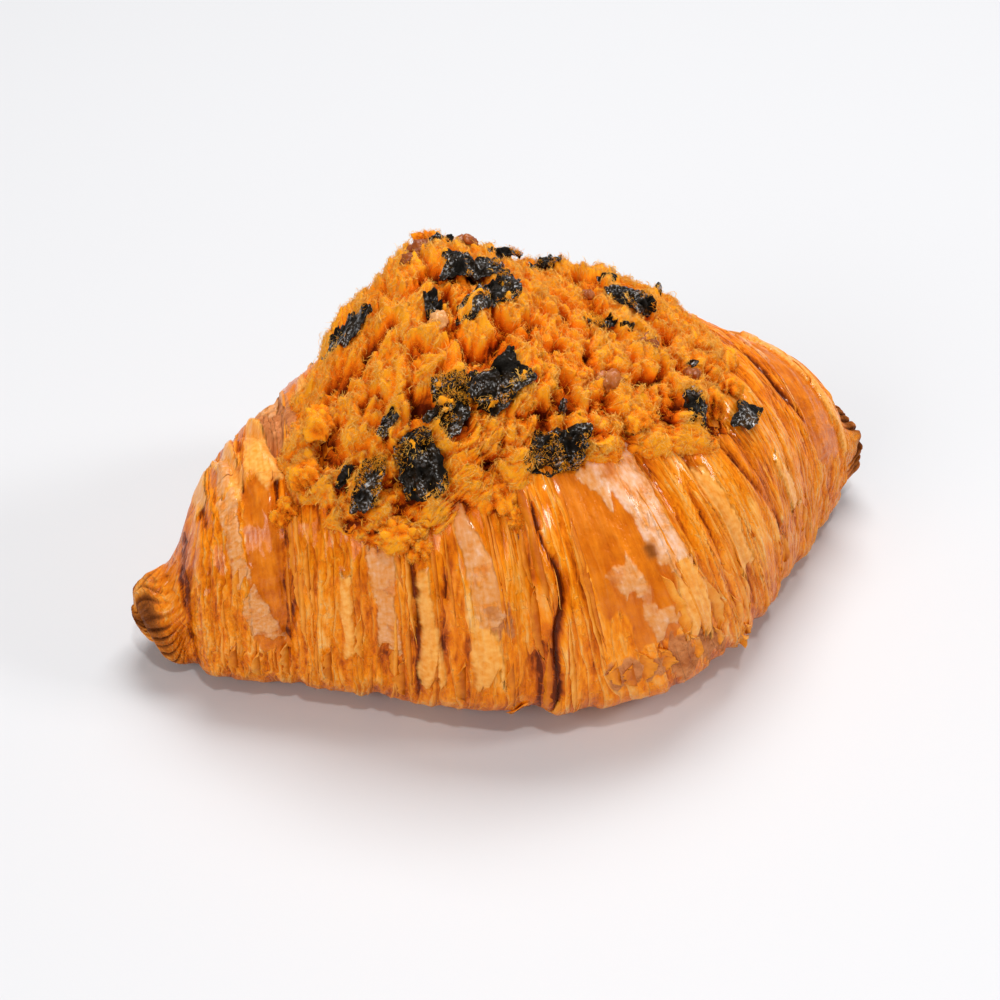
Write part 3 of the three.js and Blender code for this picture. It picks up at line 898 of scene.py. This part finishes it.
# The heap
# Meat floss: pork stewed soft, shredded and fried dry, so that it mats into clumps of fine curly shreds.
# It is pressed onto the ridge, and this is its matted core, which the loose shreds stand on.
HEAP_ALONG = -10.0
HEAP_TURN = 100.0
HEAP_HALF_ALONG = 44.0
HEAP_HALF_FRONT = 33.0
HEAP_HALF_BACK = 29.0
# Where the outline bulges or draws in: towards, spread in degrees, reach in mm
HEAP_LOBES = [(133, 14, 9), (50, 12, 5), (90, 16, -4), (158, 14, 4), (192, 18, -3)]
HEAP_RAGS = [(1.8, 6, 63), (1.3, 15, 64), (0.8, 36, 65)]  # its ragged edge: depth in mm, fineness, seed
FLOSS_EDGE = 3.6  # thickness near the edge, and how much thicker it is at the peak
FLOSS_PEAK = 12.5
PEAK_ALONG = -22.0
PEAK_TURN = 92.0
PEAK_LENGTH = 18.0
PEAK_DEGREES = 38.0
CLUMP_SIZE = 7.8
CLUMP_DEPTH = 4.6
TUFT_SIZE = 2.5
TUFT_DEPTH = 1.9
MAT_SIZE = 1.2
MAT_DEPTH = 1.7
HOLE_SIZE = 2.4
HOLE_DEPTH = 2.6
LEAN = 1.3  # how far the clumps' tops lean over their gaps
MAP_REACH = 64.0  # the heap's map is flat, in mm from the heap's middle: along the roll and down its front
GAP_SHARE = 0.26  # part of a clump's size over which its side drops


def clump_map(spacing, seed):
    """A clump near each point of a grid over the heap's map: their places, sizes and levels."""
    random = np.random.default_rng(seed)
    rows = np.arange(-MAP_REACH, MAP_REACH, spacing)
    x, y = np.meshgrid(rows, rows, indexing="ij")
    shift = random.uniform(-0.45, 0.45, (2, *x.shape)) * spacing
    size = random.uniform(0.55, 1.0, x.shape) * spacing
    level = random.uniform(-1, 1, x.shape)
    return x + shift[0], y + shift[1], size, level, spacing


CLUMPS = clump_map(CLUMP_SIZE, 61)
TUFTS = clump_map(TUFT_SIZE, 62)


def crags(x, y, clumps):
    """Height of the nearest clump at each place of the map: about 1 on its blunt top and 0 in the gaps."""
    centre_x, centre_y, size, level, spacing = clumps
    column = np.round((x + MAP_REACH) / spacing).astype(int)
    row = np.round((y + MAP_REACH) / spacing).astype(int)
    last = len(size) - 1
    nearest = np.full(np.shape(x), 9.0)
    second = np.full(np.shape(x), 9.0)
    own = np.zeros(np.shape(x))
    for aside in (-1, 0, 1):
        for ahead in (-1, 0, 1):
            cell = (np.clip(column + aside, 0, last), np.clip(row + ahead, 0, last))
            away = np.hypot(x - centre_x[cell], y - centre_y[cell]) / size[cell]
            own = np.where(away < nearest, level[cell], own)
            second = np.minimum(second, np.maximum(nearest, away))
            nearest = np.minimum(nearest, away)
    blunt = np.clip(1 - nearest ** 3, 0, 1) ** 0.6
    return blunt * (0.3 + 0.7 * smooth((second - nearest) / GAP_SHARE)) * (0.86 + 0.24 * own)


def map_place(along, turn):
    """The place on the heap's map of a place on the roll."""
    return along - HEAP_ALONG, (turn - HEAP_TURN) * MM_PER_DEGREE


def roll_place(x, y):
    """The place on the roll of a place on the heap's map."""
    return x + HEAP_ALONG, y / MM_PER_DEGREE + HEAP_TURN


def heap_reach(degrees):
    """Distance of the heap's ragged outline from its middle on the map, in mm."""
    x = np.cos(np.radians(degrees))
    y = np.sin(np.radians(degrees))
    half = np.where(y > 0, HEAP_HALF_FRONT, HEAP_HALF_BACK)
    reach = 1 / np.hypot(x / HEAP_HALF_ALONG, y / half)
    for toward, spread, extra in HEAP_LOBES:
        reach = reach + extra * bell((degrees % 360 - toward) / spread)
    for depth, teeth, seed in HEAP_RAGS:
        reach = reach + depth * noise(teeth * x, teeth * y, seed)
    return reach


def heap_thickness(x, y):
    """Thickness of the floss at places of the map, without its clumps."""
    share = np.hypot(x, y) / heap_reach(np.degrees(np.arctan2(y, x)))
    along, turn = roll_place(x, y)
    away = np.hypot((along - PEAK_ALONG) / PEAK_LENGTH, (turn - PEAK_TURN) / PEAK_DEGREES)
    rim = FLOSS_EDGE * np.sqrt(np.clip(1 - share ** 6, 0, 1))
    return rim + FLOSS_PEAK * bell(away) * np.clip(1 - share ** 4, 0, 1)


def heap_height(x, y):
    """Height of the clumped floss at places of the map, and how far up its clumps they are."""
    wander = 1.8 * noise(x / 3.6, y / 3.6, 66) + 0.7 * noise(x / 1.3, y / 1.3, 71)
    drift = 1.8 * noise(x / 3.6, y / 3.6, 67) + 0.7 * noise(x / 1.3, y / 1.3, 72)
    clump = crags(x + wander, y + drift, CLUMPS)
    tuft = crags(x + 0.7 * wander, y - 0.6 * drift, TUFTS)
    mat = np.abs(noise(x / MAT_SIZE, y / MAT_SIZE, 68))
    hole = smooth((noise(x / HOLE_SIZE, y / HOLE_SIZE, 73) - 0.36) / 0.2)
    thick = heap_thickness(x, y)
    lumpy = CLUMP_DEPTH * (clump - 0.62) + TUFT_DEPTH * (tuft - 0.55) + MAT_DEPTH * (mat - 0.35)
    # How far up the clumps, lowered in the holes; it sets the floss's tone, so that holes and gaps get
    # painted shade
    up = 0.5 * clump + 0.45 * tuft + 0.4 * mat - 0.5 * hole
    return thick + (lumpy - HOLE_DEPTH * hole) * np.clip(thick / FLOSS_EDGE, 0, 1), up


def heap_point(x, y, height):
    """Points of the heap in mm, at places of its map and a height above the crust."""
    along, turn = roll_place(x, y)
    return roll_point(along, turn, height + 0.6 * wrap_relief(along, turn))


def floss_point(x, y):
    """Points of the floss's own surface, whose clumps lean this way and that."""
    height, up = heap_height(x, y)
    lean = LEAN * np.clip(up - 0.4, 0, 1)
    lean_x = lean * noise(x / 2.8, y / 2.8, 75)
    lean_y = lean * noise(x / 2.8, y / 2.8, 76)
    return heap_point(x + lean_x, y + lean_y, height)


# Four tones of the floss, from its gaps in painted shade to its tops in painted light, and the colours of
# the core and the shreds there
FLOSS_TONES = (0.1, 0.38, 0.66, 0.95)
CORE_COLOURS = [(0.13, 0.014, 0.001), (0.64, 0.1, 0.002), (1.0, 0.26, 0.005), (1.0, 0.38, 0.014)]
SHRED_COLOURS = [(0.6, 0.09, 0.001), (1.0, 0.26, 0.004), (1.0, 0.41, 0.022), (1.0, 0.55, 0.11)]


def floss_finish(name, colours):
    """Fried shreds, orange: lighter where they stand out, dark brown between the clumps, as painted light
    and shade.
    """
    material = start_finish(name)
    place = object_place()
    blotch = grain(place, 140.0, 3.0)
    fuzz = grain(place, 1300.0, 4.0, 0.7, 1.2)
    # Tone rises with how far up the clumps a place is: painted shade in the gaps and holes, painted light on
    # the tops
    tone = field("up") * 1.1 - 0.13 + field("tint") * 0.3 + (blotch - 0.5) * 0.45 + (fuzz - 0.5) * 0.5
    end_finish({
        "Base Color": ramp(tone, list(zip(FLOSS_TONES, colours))),
        "Roughness": 0.7,
        "Specular IOR Level": 0.05,
        "Normal": bumped(fuzz, 0.6, 0.0003),
    })
    return material


CORE_ROUND = 360
CORE_RINGS = 255
CORE_UNDER = 0.14  # part of the rings that closes the core below
CORE_ROOT = 3.0  # how deep it reaches into the roll


def build_floss_core():
    piece, across, around = add_grid("floss_core", CORE_RINGS, CORE_ROUND)
    across = (across + 1) / 2
    degrees = -180 * (around + 1)
    top = np.clip(across / (1 - CORE_UNDER), 0, 1)
    under = np.clip((across - 1 + CORE_UNDER) / CORE_UNDER, 0, 1)
    share = np.sin(0.5 * math.pi * top) * (1 - under)
    reach = heap_reach(degrees) * share
    x = reach * np.cos(np.radians(degrees))
    y = reach * np.sin(np.radians(degrees))
    sunk = heap_point(x, y, np.full(len(x), -CORE_ROOT))
    place_points(piece, np.where((under > 0)[:, None], sunk, floss_point(x, y)))
    up = heap_height(x, y)[1]
    add_field(piece, "up", up)
    add_field(piece, "tint", 0.3 + 0 * up)
    close_skin(piece)
    finish_piece(piece, floss_finish("floss_mat", CORE_COLOURS))
    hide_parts("floss_heap")
    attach(piece, "root")


build_floss_core()

# The loose lumps
# Clumps of the same floss that fell off the heap as it was pressed on, and lie on the crust beside it or on
# its slopes, matted and round.

# Place along and round the roll, half sizes in mm, lift in mm
LOOSE_LUMPS = [
    (-52.9, 127.5, 3.0, 2.4, 1.6, 0.6), (-49.5, 121, 2.6, 2.6, 1.7, 0.8), (-36.2, 144, 3.4, 3.0, 2.0, 0.8),
    (-33.0, 149, 2.2, 2.0, 1.5, 0.4), (-21.1, 142, 3.0, 3.2, 2.0, 0.8), (-19, 147, 2.0, 2.2, 1.4, 0.4),
    (-17.3, 78, 3.0, 2.6, 2.0, -0.2), (26, 127, 2.6, 2.2, 1.6, 0.5), (19, 132, 2.4, 2.6, 1.6, 0.4),
    (-46, 110, 2.6, 3.0, 1.8, 1.0), (31, 117, 2.2, 2.4, 1.5, 0.6), (3, 134, 2.6, 1.9, 1.5, 0.5),
]


def unit(vectors):
    return vectors / np.maximum(np.linalg.norm(vectors, axis=-1, keepdims=True), 1e-9)


def surface_axes(x, y, surface):
    """Points of a surface over the heap's map, their outward direction and two directions along it."""
    step = 0.35
    here = surface(x, y)
    beside = unit(surface(x + step, y) - here)
    down = unit(surface(x, y + step) - here)
    return here, unit(np.cross(down, beside)), beside, down


def plain_heap(x, y):
    return heap_point(x, y, heap_thickness(x, y))


def map_rows(rows):
    """Rows that start with a place on the roll, with its place on the heap's map there instead."""
    return np.array([(*map_place(along, turn), *rest) for along, turn, *rest in rows])


def round_body():
    """Points and faces of a round body of radius 1."""
    bpy.ops.object.select_all(action="DESELECT")
    bpy.ops.mesh.primitive_ico_sphere_add(subdivisions=4, radius=1)
    body = bpy.context.object
    points = read_points(body)
    faces = np.zeros(len(body.data.polygons) * 3, int)
    body.data.polygons.foreach_get("vertices", faces)
    bpy.data.objects.remove(body)
    return points, faces.reshape(-1, 3)


def lumps_from(rows, roughness, seed):
    """Uneven round lumps on the heap: their points, outward directions, places up each lump and faces."""
    body, body_faces = round_body()
    x, y, half_x, half_y, half_z, lift = rows.T
    middle, out, beside, _ = surface_axes(x, y, plain_heap)
    middle = middle + out * lift[:, None]
    down = np.cross(beside, out)
    numbers = np.arange(len(rows))[:, None]
    a, b, c = body.T
    bulge = 1 + roughness * noise(a * 2.2 + 9 * numbers, b * 2.2 + 1.7 * c, seed)
    bulge += roughness * (np.abs(noise(a * 4 + 9 * numbers, b * 4 + 3.1 * c, seed + 1)) - 0.35)
    offset = beside[:, None] * (a * half_x[:, None] * bulge)[..., None]
    offset += down[:, None] * (b * half_y[:, None] * bulge)[..., None]
    offset += out[:, None] * (c * half_z[:, None] * bulge)[..., None]
    points = middle[:, None] + offset
    faces = body_faces[None] + len(body) * np.arange(len(rows))[:, None, None]
    # How far up each lump sets its tone: lighter on top and darker in its dents, as painted light and shade
    height = 0.42 + 0.25 * c + 0.8 * (bulge - 1)
    return points.reshape(-1, 3), unit(offset).reshape(-1, 3), height.ravel(), faces.reshape(-1, 3)


lump_points, lump_out, lump_up, lump_faces = lumps_from(map_rows(LOOSE_LUMPS), 0.5, 72)
lumps = add_mesh("floss_lumps", lump_points, lump_faces)
add_field(lumps, "up", lump_up)
add_field(lumps, "tint", 0.4 + 0 * lump_up)
finish_piece(lumps, floss_finish("floss_lumps", CORE_COLOURS))
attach(lumps, "root")

# The toasted bits
# Crumbs of the meat that fried hard, as big as a grain of rice: reddish brown and glossy, and a few pale.
# They lie pressed in among the floss.

# Place along and round the roll, half sizes and lift in mm, paleness
TOASTED_BITS = [
    (-21.6, 84, 2.4, 1.8, 1.5, 1.2, 0.15), (-9.9, 79, 2.2, 1.7, 1.5, 1.3, 0.2),
    (-24.8, 107.5, 1.4, 1.6, 1.1, 1.7, 0.95), (0.6, 125, 2.4, 2.0, 1.5, 1.0, 0.4),
    (11.4, 116.5, 2.2, 1.9, 1.5, 0.9, 0.2), (-24.5, 88, 2.0, 1.3, 1.1, 0.9, 0.1),
    (17.1, 125, 2.0, 1.2, 1.0, 0.8, 0.2), (8, 98, 1.3, 1.1, 0.9, 0.8, 0.3),
]
BIT_COLOURS = [(0.2, (0.2, 0.035, 0.004)), (0.5, (0.42, 0.11, 0.015)), (0.85, (0.8, 0.38, 0.13))]


def toasted_finish():
    material = start_finish("toasted_bits")
    mottle = grain(object_place(), 500.0, 3.0, 0.6)
    tone = field("tint") * 0.6 + mottle * 0.5
    end_finish({
        "Base Color": ramp(tone, BIT_COLOURS),
        "Roughness": 0.36,
        "Coat Weight": 0.2,
        "Specular IOR Level": 0.2,
        "Normal": bumped(mottle, 0.7, 0.0006),
    })
    return material


bit_rows = map_rows(TOASTED_BITS)
bit_points, _, _, bit_faces = lumps_from(bit_rows[:, :-1], 0.35, 74)
bits = add_mesh("toasted_bits", bit_points, bit_faces)
add_field(bits, "tint", np.repeat(bit_rows[:, -1], len(bit_points) // len(bit_rows)))
finish_piece(bits, toasted_finish())
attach(bits, "root")

# The seaweed
# Roasted laver torn by hand into scraps: a sheet far thinner than a millimetre, almost black and crinkled.
# It was strewn on the floss, so the scraps lie at all angles and some are half covered by it.

# Middle along and round the roll, length, width, turn in the surface, lift of one end
SEAWEED = [
    (-14.6, 95, 13, 6, -2, 1.2), (-18, 84, 5.5, 3.6, 32, 1), (-15.3, 105, 14.5, 4.6, 22, 2.2),
    (-26, 122, 6, 7, -8, 0.8), (-18.2, 122.5, 9.2, 5.6, 27, 1.6), (-12, 136, 9.6, 6.4, -6, 0.8),
    (-32.3, 131.5, 7.2, 10.5, -8, 0.6), (-40, 131, 4.4, 9, -14, 0.6), (5.2, 109, 5.4, 2.6, -8, 1),
    (16.5, 100, 7.5, 7, -30, 2), (6.5, 82, 7, 3.2, -4, 1.6), (-2, 80, 7.5, 3, -12, 2.2),
    (13.8, 132, 3.2, 6.4, -16, 1), (26.5, 135, 5, 6.6, -30, 1.4), (-39, 88, 4.6, 10.5, 12, 2),
    (-36, 121, 3.4, 2.4, 30, 0.6),
]
# Smaller scraps among them, measured the same way
SEAWEED_CRUMBS = [
    (-25.2, 104, 2.6, 5, -14, 0.6), (16.7, 89, 4, 2, -20, 1), (28.4, 89.5, 1.8, 1.4, 40, 1.4),
    (-22.4, 121, 2.6, 3, 10, 0.5), (-26.4, 127, 2.4, 3, 5, 0.3), (-29.5, 123.5, 2.6, 1.6, 30, 0.4),
    (-43.5, 127, 2, 3.4, -20, 0.5), (9.5, 112, 2.4, 1.4, -20, 0.6), (-8.5, 128, 2.2, 1.4, 60, 0.4),
    (19, 122, 1.8, 1.2, 15, 0.5),
]
SHEET_LIFT = 0.7
SHEET_CELLS_LONG = 46
SHEET_CELLS_WIDE = 34
SHEET_THICKNESS = 0.22
SHEET_COLOURS = [(0.4, (0.004, 0.003, 0.002)), (0.6, (0.02, 0.01, 0.003)), (0.75, (0.07, 0.03, 0.006))]
# Light grey painted into the colour as glints in the glossy patches
PAINTED_GLINT_GREY = (0.34, 0.33, 0.32, 1)


def scrap_axes(along, turn, angle):
    """The place of a scrap's middle on the heap's map, and the cosine and sine of its turn there."""
    return *map_place(along, turn), math.cos(math.radians(angle)), math.sin(math.radians(angle))


def scrap_surface(u, v, seed, along, turn, long, wide, angle, lift):
    """Points of a torn, crinkled scrap of seaweed: places on the heap's map and heights over the crust."""
    around = np.arctan2(v, u)
    corner_x = np.cos(around)
    corner_y = np.sin(around)
    torn = 0.2 * noise(1.7 * corner_x, 1.7 * corner_y, seed + 100)
    torn += 0.1 * noise(4 * corner_x, 4 * corner_y, seed + 130)
    torn += 0.05 * noise(11 * corner_x, 11 * corner_y, seed + 250)
    size = (1 - 0.14 * u * u * v * v) * (0.98 + torn * np.maximum(np.abs(u), np.abs(v))) / 2
    b = v * wide * size
    a = u * long * size + 0.35 * math.sin(2.4 * seed) * b
    crinkle = 0.8 * np.abs(noise(a / 3, b / 3, seed + 160))
    crinkle += 0.4 * np.abs(noise(a / 1.3, b / 1.3, seed + 190))
    crinkle += 0.12 * noise(a / 0.5, b / 0.5, seed + 220)
    middle_x, middle_y, cosine, sine = scrap_axes(along, turn, angle)
    x = middle_x + a * cosine - b * sine
    y = middle_y - (a * sine + b * cosine)
    base = heap_thickness(x, y)
    clumped = heap_height(x, y)[0] - base
    rise = SHEET_LIFT + lift * (0.5 + 0.5 * u) ** 2 + 0.4 * np.cos(3 * v + seed - 1)
    return x, y, base + 0.4 * clumped + rise + crinkle


def seaweed_finish():
    """Almost black, glossy in patches, with fine silvery flecks painted in as glints."""
    material = start_finish("roasted_seaweed")
    place = object_place()
    crinkle = grain(place, 600.0, 3.0, 0.6, 0.8)
    fleck_and_glint = grain(place, 1900.0, 2.0, 0.6)
    blotch = grain(place, 260.0, 3.0)
    gloss = fleck_and_glint.between(0.44, 0.54) * blotch.between(0.4, 0.5)
    # Painted glints: light grey flecks in the base colour
    painted_glints = fleck_and_glint.between(0.53, 0.63) * blotch.between(0.5, 0.6)
    end_finish({
        "Base Color": layered(painted_glints, ramp(blotch, SHEET_COLOURS), PAINTED_GLINT_GREY),
        "Roughness": 0.5 - gloss * 0.25,
        "Coat Weight": gloss,
        "Coat Roughness": 0.15,
        "Specular IOR Level": 0.1,
        "Specular Tint": (1.0, 0.88, 0.76, 1),
        "Normal": bumped(crinkle + fleck_and_glint * 0.35, 1.0, 0.0005),
    })
    return material


def build_seaweed(name, seed, scrap, material):
    """One scrap: a grid with torn edges, laid on the floss, crinkled and given its thickness."""
    piece, u, v = add_grid(name, SHEET_CELLS_LONG, SHEET_CELLS_WIDE)
    place_points(piece, heap_point(*scrap_surface(u, v, seed, *scrap)))
    thicken(piece, SHEET_THICKNESS, 0)
    finish_piece(piece, material)
    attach(piece, "root")
    return piece


seaweed_material = seaweed_finish()
for number, scrap in enumerate(SEAWEED, start=1):
    piece = build_seaweed(f"scrap_{number:02d}", number, scrap, seaweed_material)
    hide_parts(f"seaweed_{number:02d}")
for number, scrap in enumerate(SEAWEED_CRUMBS, start=1):
    build_seaweed(f"crumb_{number:02d}", number + 30, scrap, seaweed_material)

# The shreds
# Single fibres of the floss, a tenth of a millimetre thick, fried dry and curly. They stand and lie all over
# the heap and the lumps, and some cling to the seaweed. A shred is a three-sided spindle, and each piece
# of them is one joined mesh.
SHRED_SIDES = 3
SHRED_LENGTHS = (0.5, 1.4)  # how much shorter, longer, thinner and thicker than its kind a shred may be
SHRED_GIRTHS = (0.7, 1.3)
SHRED_RISES = (-0.15, 1)
SHRED_ROOTS = (-0.4, 0.2)  # how far above the surface it starts
# Where on the heap's map shreds are strewn, how many places are tried for each, and how far up a clump
STREWN_ALONG = (-HEAP_HALF_ALONG - 12, HEAP_HALF_ALONG + 10)
STREWN_DOWN = (-HEAP_HALF_BACK - 8, HEAP_HALF_FRONT + 18)
TRIES = 6
HELD_ABOVE = (0.18, 0.76)
COVERED = 0.38  # how far out from its middle a scrap keeps shreds off, as a share of its size
MATTED = (4, 6, 7, 8, 13)  # numbers of the scraps that floss covers in part


def one_shred(rings):
    """Faces of one shred with some rings of corners, and the station and side of each of its points."""
    stations = [0] + [row + 1 for row in range(rings) for _ in range(SHRED_SIDES)] + [rings + 1]
    sides = [0] + list(range(SHRED_SIDES)) * rings + [0]
    last = 1 + SHRED_SIDES * rings
    faces = []
    for k in range(SHRED_SIDES):
        after = (k + 1) % SHRED_SIDES
        faces.append((0, 1 + after, 1 + k))
        faces.append((last, last - SHRED_SIDES + k, last - SHRED_SIDES + after))
        for row in range(1, last - SHRED_SIDES, SHRED_SIDES):
            faces.append((row + k, row + after, row + SHRED_SIDES + after))
            faces.append((row + k, row + SHRED_SIDES + after, row + SHRED_SIDES + k))
    return np.array(faces), np.array(stations), np.array(sides)


def under_seaweed(x, y, chance):
    """Places of the map that a piece of seaweed covers, apart from a few where shreds lie on it."""
    covered = np.zeros(len(x), bool)
    for along, turn, long, wide, angle, _ in SEAWEED + SEAWEED_CRUMBS:
        middle_x, middle_y, cosine, sine = scrap_axes(along, turn, angle)
        a = (x - middle_x) * cosine + (middle_y - y) * sine
        b = (middle_y - y) * cosine - (x - middle_x) * sine
        inside = (np.abs(a) < long * COVERED) & (np.abs(b) < wide * COVERED)
        patchy = noise(x / 1.5, y / 1.5, 69) < 0.2
        covered |= inside & patchy & (chance < 0.97)
    return covered


def heap_stance(count, random):
    """Places over the heap: point, outward direction, two directions along it, place up the clumps."""
    x = random.uniform(*STREWN_ALONG, count * TRIES)
    y = random.uniform(*STREWN_DOWN, count * TRIES)
    inside = np.hypot(x, y) < heap_reach(np.degrees(np.arctan2(y, x)))
    kept = inside & ~under_seaweed(x, y, random.uniform(0, 1, len(x)))
    x = x[kept]
    y = y[kept]
    up = heap_height(x, y)[1]
    held = np.flatnonzero(up > random.uniform(*HELD_ABOVE, len(x)))[:count]
    return *surface_axes(x[held], y[held], floss_point), up[held]


def lump_stance(count, random):
    """The same for places on the lumps."""
    chosen = random.choice(np.flatnonzero(lump_up > 0.3), count)
    out = lump_out[chosen]
    beside = unit(np.cross(out, random.normal(0, 1, out.shape)))
    return lump_points[chosen], out, beside, np.cross(out, beside), lump_up[chosen]


def scrap_stance(count, random):
    """Places on the scraps, most of them on the matted ones, given as heap_stance gives its own."""
    number = random.integers(0, len(SEAWEED), count)
    corners = random.uniform(-1, 1, (2, count))
    spots = []
    for chosen, scrap in enumerate(SEAWEED):
        u, v = corners[:, number == chosen]
        x, y, height = scrap_surface(u, v, chosen + 1, *scrap)
        patchy = noise(x / 2.1, y / 2.1, 79) + 0.3 * noise(x / 0.6, y / 0.6, 80)
        patchy += 0.3 * np.maximum(np.abs(u), np.abs(v)) ** 4
        kept = patchy > (0.2 if chosen + 1 in MATTED else 0.55)
        spots.append(np.stack([x, y, height], 1)[kept])
    x, y, height = np.concatenate(spots).T
    _, out, beside, down = surface_axes(x, y, plain_heap)
    return heap_point(x, y, height + 0.3), out, beside, down, np.full(len(x), 0.55)


def build_shreds(name, stance, rings, length, girth, stand, bend, seed):
    """A joined mesh of shreds that stand on the floss at a share of their length and bend sideways."""
    random = np.random.default_rng(seed)
    surface, out, beside, down, up = stance
    number = len(surface)
    swirl = noise(surface[:, 0] / 5, surface[:, 1] / 5, 77) + noise(surface[:, 2] / 5, surface[:, 0] / 9, 78)
    heading = 1.5 * math.pi * swirl + random.normal(0, 1.2, number)
    rise = stand * random.uniform(*SHRED_RISES, number)
    flat = unit(np.cos(heading)[:, None] * beside + np.sin(heading)[:, None] * down)
    side = np.cross(out, flat)
    ahead = unit(flat + rise[:, None] * out)
    size = length * random.uniform(*SHRED_LENGTHS, number)
    thick = girth * random.uniform(*SHRED_GIRTHS, number)
    curl = random.normal(0, bend, number)
    lift = random.normal(0.05, 0.2, number)
    start = surface + out * random.uniform(*SHRED_ROOTS, number)[:, None]

    faces, stations, sides = one_shred(rings)
    share = stations / (rings + 1)
    wave = np.sin(math.pi * share)
    twist = np.sin(2 * math.pi * share) * 0.5
    girths = np.sqrt(wave + 1e-6) * (share > 0) * (share < 1)
    corner = 2 * math.pi * sides / SHRED_SIDES
    sideways = size[:, None] * curl[:, None] * (wave + twist) + thick[:, None] * np.cos(corner) * girths
    outwards = size[:, None] * lift[:, None] * wave + thick[:, None] * np.sin(corner) * girths
    points = start[:, None] + ahead[:, None] * (size[:, None] * (share - 0.3))[..., None]
    points += side[:, None] * sideways[..., None] + out[:, None] * outwards[..., None]
    points_each = len(stations)
    all_faces = (faces[None] + points_each * np.arange(number)[:, None, None]).reshape(-1, 3)
    piece = add_mesh(name, points.reshape(-1, 3), all_faces)
    # Each shred's tone follows how far up the clumps it stands, as painted shade and light
    add_field(piece, "up", np.repeat(up, points_each))
    add_field(piece, "tint", np.repeat(random.uniform(0, 1, number), points_each))
    return piece


# Kinds of shreds: where they stand, how many, rings, length, half girth, stand, bend, seed
SHRED_PIECES = {
    "floss_fuzz_1": (heap_stance, 33000, 1, 1.1, 0.046, 1.1, 0.3, 81),
    "floss_fuzz_2": (heap_stance, 33000, 1, 0.8, 0.044, 1.5, 0.3, 82),
    "floss_fuzz_3": (lump_stance, 14000, 1, 0.9, 0.046, 1.4, 0.3, 83),
    "floss_fuzz_4": (scrap_stance, 16000, 1, 1.1, 0.046, 1.1, 0.3, 86),
    "floss_fuzz_5": (heap_stance, 22000, 1, 0.95, 0.04, 1.3, 0.3, 87),
    "floss_strands": (heap_stance, 6000, 3, 1.9, 0.042, 0.5, 0.14, 84),
    "floss_shards": (heap_stance, 5000, 3, 1.9, 0.085, 0.45, 0.12, 85),
}
shred_material = floss_finish("floss_shreds", SHRED_COLOURS)
for name, (stance, count, rings, length, girth, stand, bend, seed) in SHRED_PIECES.items():
    places = stance(count, np.random.default_rng(seed + 10))
    shreds = build_shreds(name, places, rings, length, girth, stand, bend, seed)
    finish_piece(shreds, shred_material)
    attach(shreds, "root")

# The studio
# The roll lies on a plain pale floor under soft light from above and behind, filled in from the front.
# A small lamp over the front gives the glaze and the seaweed their glints.
FLOOR_SIZE = 4.0
FLOOR_COLOURS = [(0.0, (0.65, 0.65, 0.66)), (1.0, (0.67, 0.67, 0.68))]
bpy.ops.object.select_all(action="DESELECT")
bpy.ops.mesh.primitive_plane_add(size=FLOOR_SIZE)
floor = bpy.context.object
floor.name = "floor"
floor_material = start_finish("pale_floor")
end_finish({"Base Color": ramp(grain(object_place(), 3.0), FLOOR_COLOURS), "Roughness": 0.6})
floor.data.materials.append(floor_material)


def look_along(direction, roll=0.0):
    """The turn of a camera or lamp that looks along a direction."""
    ahead = np.asarray(direction, float) / np.linalg.norm(direction)
    right = np.cross(ahead, (0, 0, 1))
    right = right / np.linalg.norm(right)
    up = np.cross(right, ahead)
    tilted_right = math.cos(roll) * right + math.sin(roll) * up
    tilted_up = math.cos(roll) * up - math.sin(roll) * right
    return Matrix(np.stack([tilted_right, tilted_up, -ahead], 1).tolist())


# Lamps that all aim at the roll: place and size in metres, power in watts
LAMP_AIM = (0, 0, 0.03)
LAMPS = {
    "overhead": ((0.35, 0.5, 1.3), (0.9, 0.7), 16.5),
    "side": ((1.6, -1.0, 1.3), (0.45, 0.45), 14.5),
    "front_fill": ((-1.5, -1.0, 0.95), (1.0, 0.8), 15.5),
    "sparkle": ((-0.15, -0.6, 1.2), (0.09, 0.09), 4),
}
for name, (place, size, power) in LAMPS.items():
    lamp = bpy.data.lights.new(name, "AREA")
    lamp.shape = "RECTANGLE"
    lamp.size, lamp.size_y = size
    lamp.energy = power
    light = bpy.data.objects.new(name, lamp)
    bpy.context.scene.collection.objects.link(light)
    light.location = place
    light.rotation_euler = look_along(np.array(LAMP_AIM) - np.array(place)).to_euler()

SKY_COLOUR = (0.95, 0.96, 1.0, 1)
SKY_STRENGTH = 0.24
world = bpy.data.worlds.new("studio")
bpy.context.scene.world = world
world.use_nodes = True
sky = world.node_tree.nodes["Background"]
sky.inputs["Color"].default_value = SKY_COLOUR
sky.inputs["Strength"].default_value = SKY_STRENGTH

CAMERA_PLACE = np.array([-150.8, -315.6, 251.8]) * MM
CAMERA_TARGET = np.array([2.05, 22.2, 7.34]) * MM
CAMERA_ROLL = 0.0071
LENS = 73.23
lens = bpy.data.cameras.new("camera")
lens.lens = LENS
lens.sensor_width = 36
lens.clip_start = 0.01
camera = bpy.data.objects.new("camera", lens)
bpy.context.scene.collection.objects.link(camera)
camera.matrix_world = Matrix.Translation(CAMERA_PLACE.tolist()) @ look_along(
    CAMERA_TARGET - CAMERA_PLACE, CAMERA_ROLL).to_4x4()
bpy.context.scene.camera = camera
bpy.context.scene.view_settings.view_transform = "Standard"
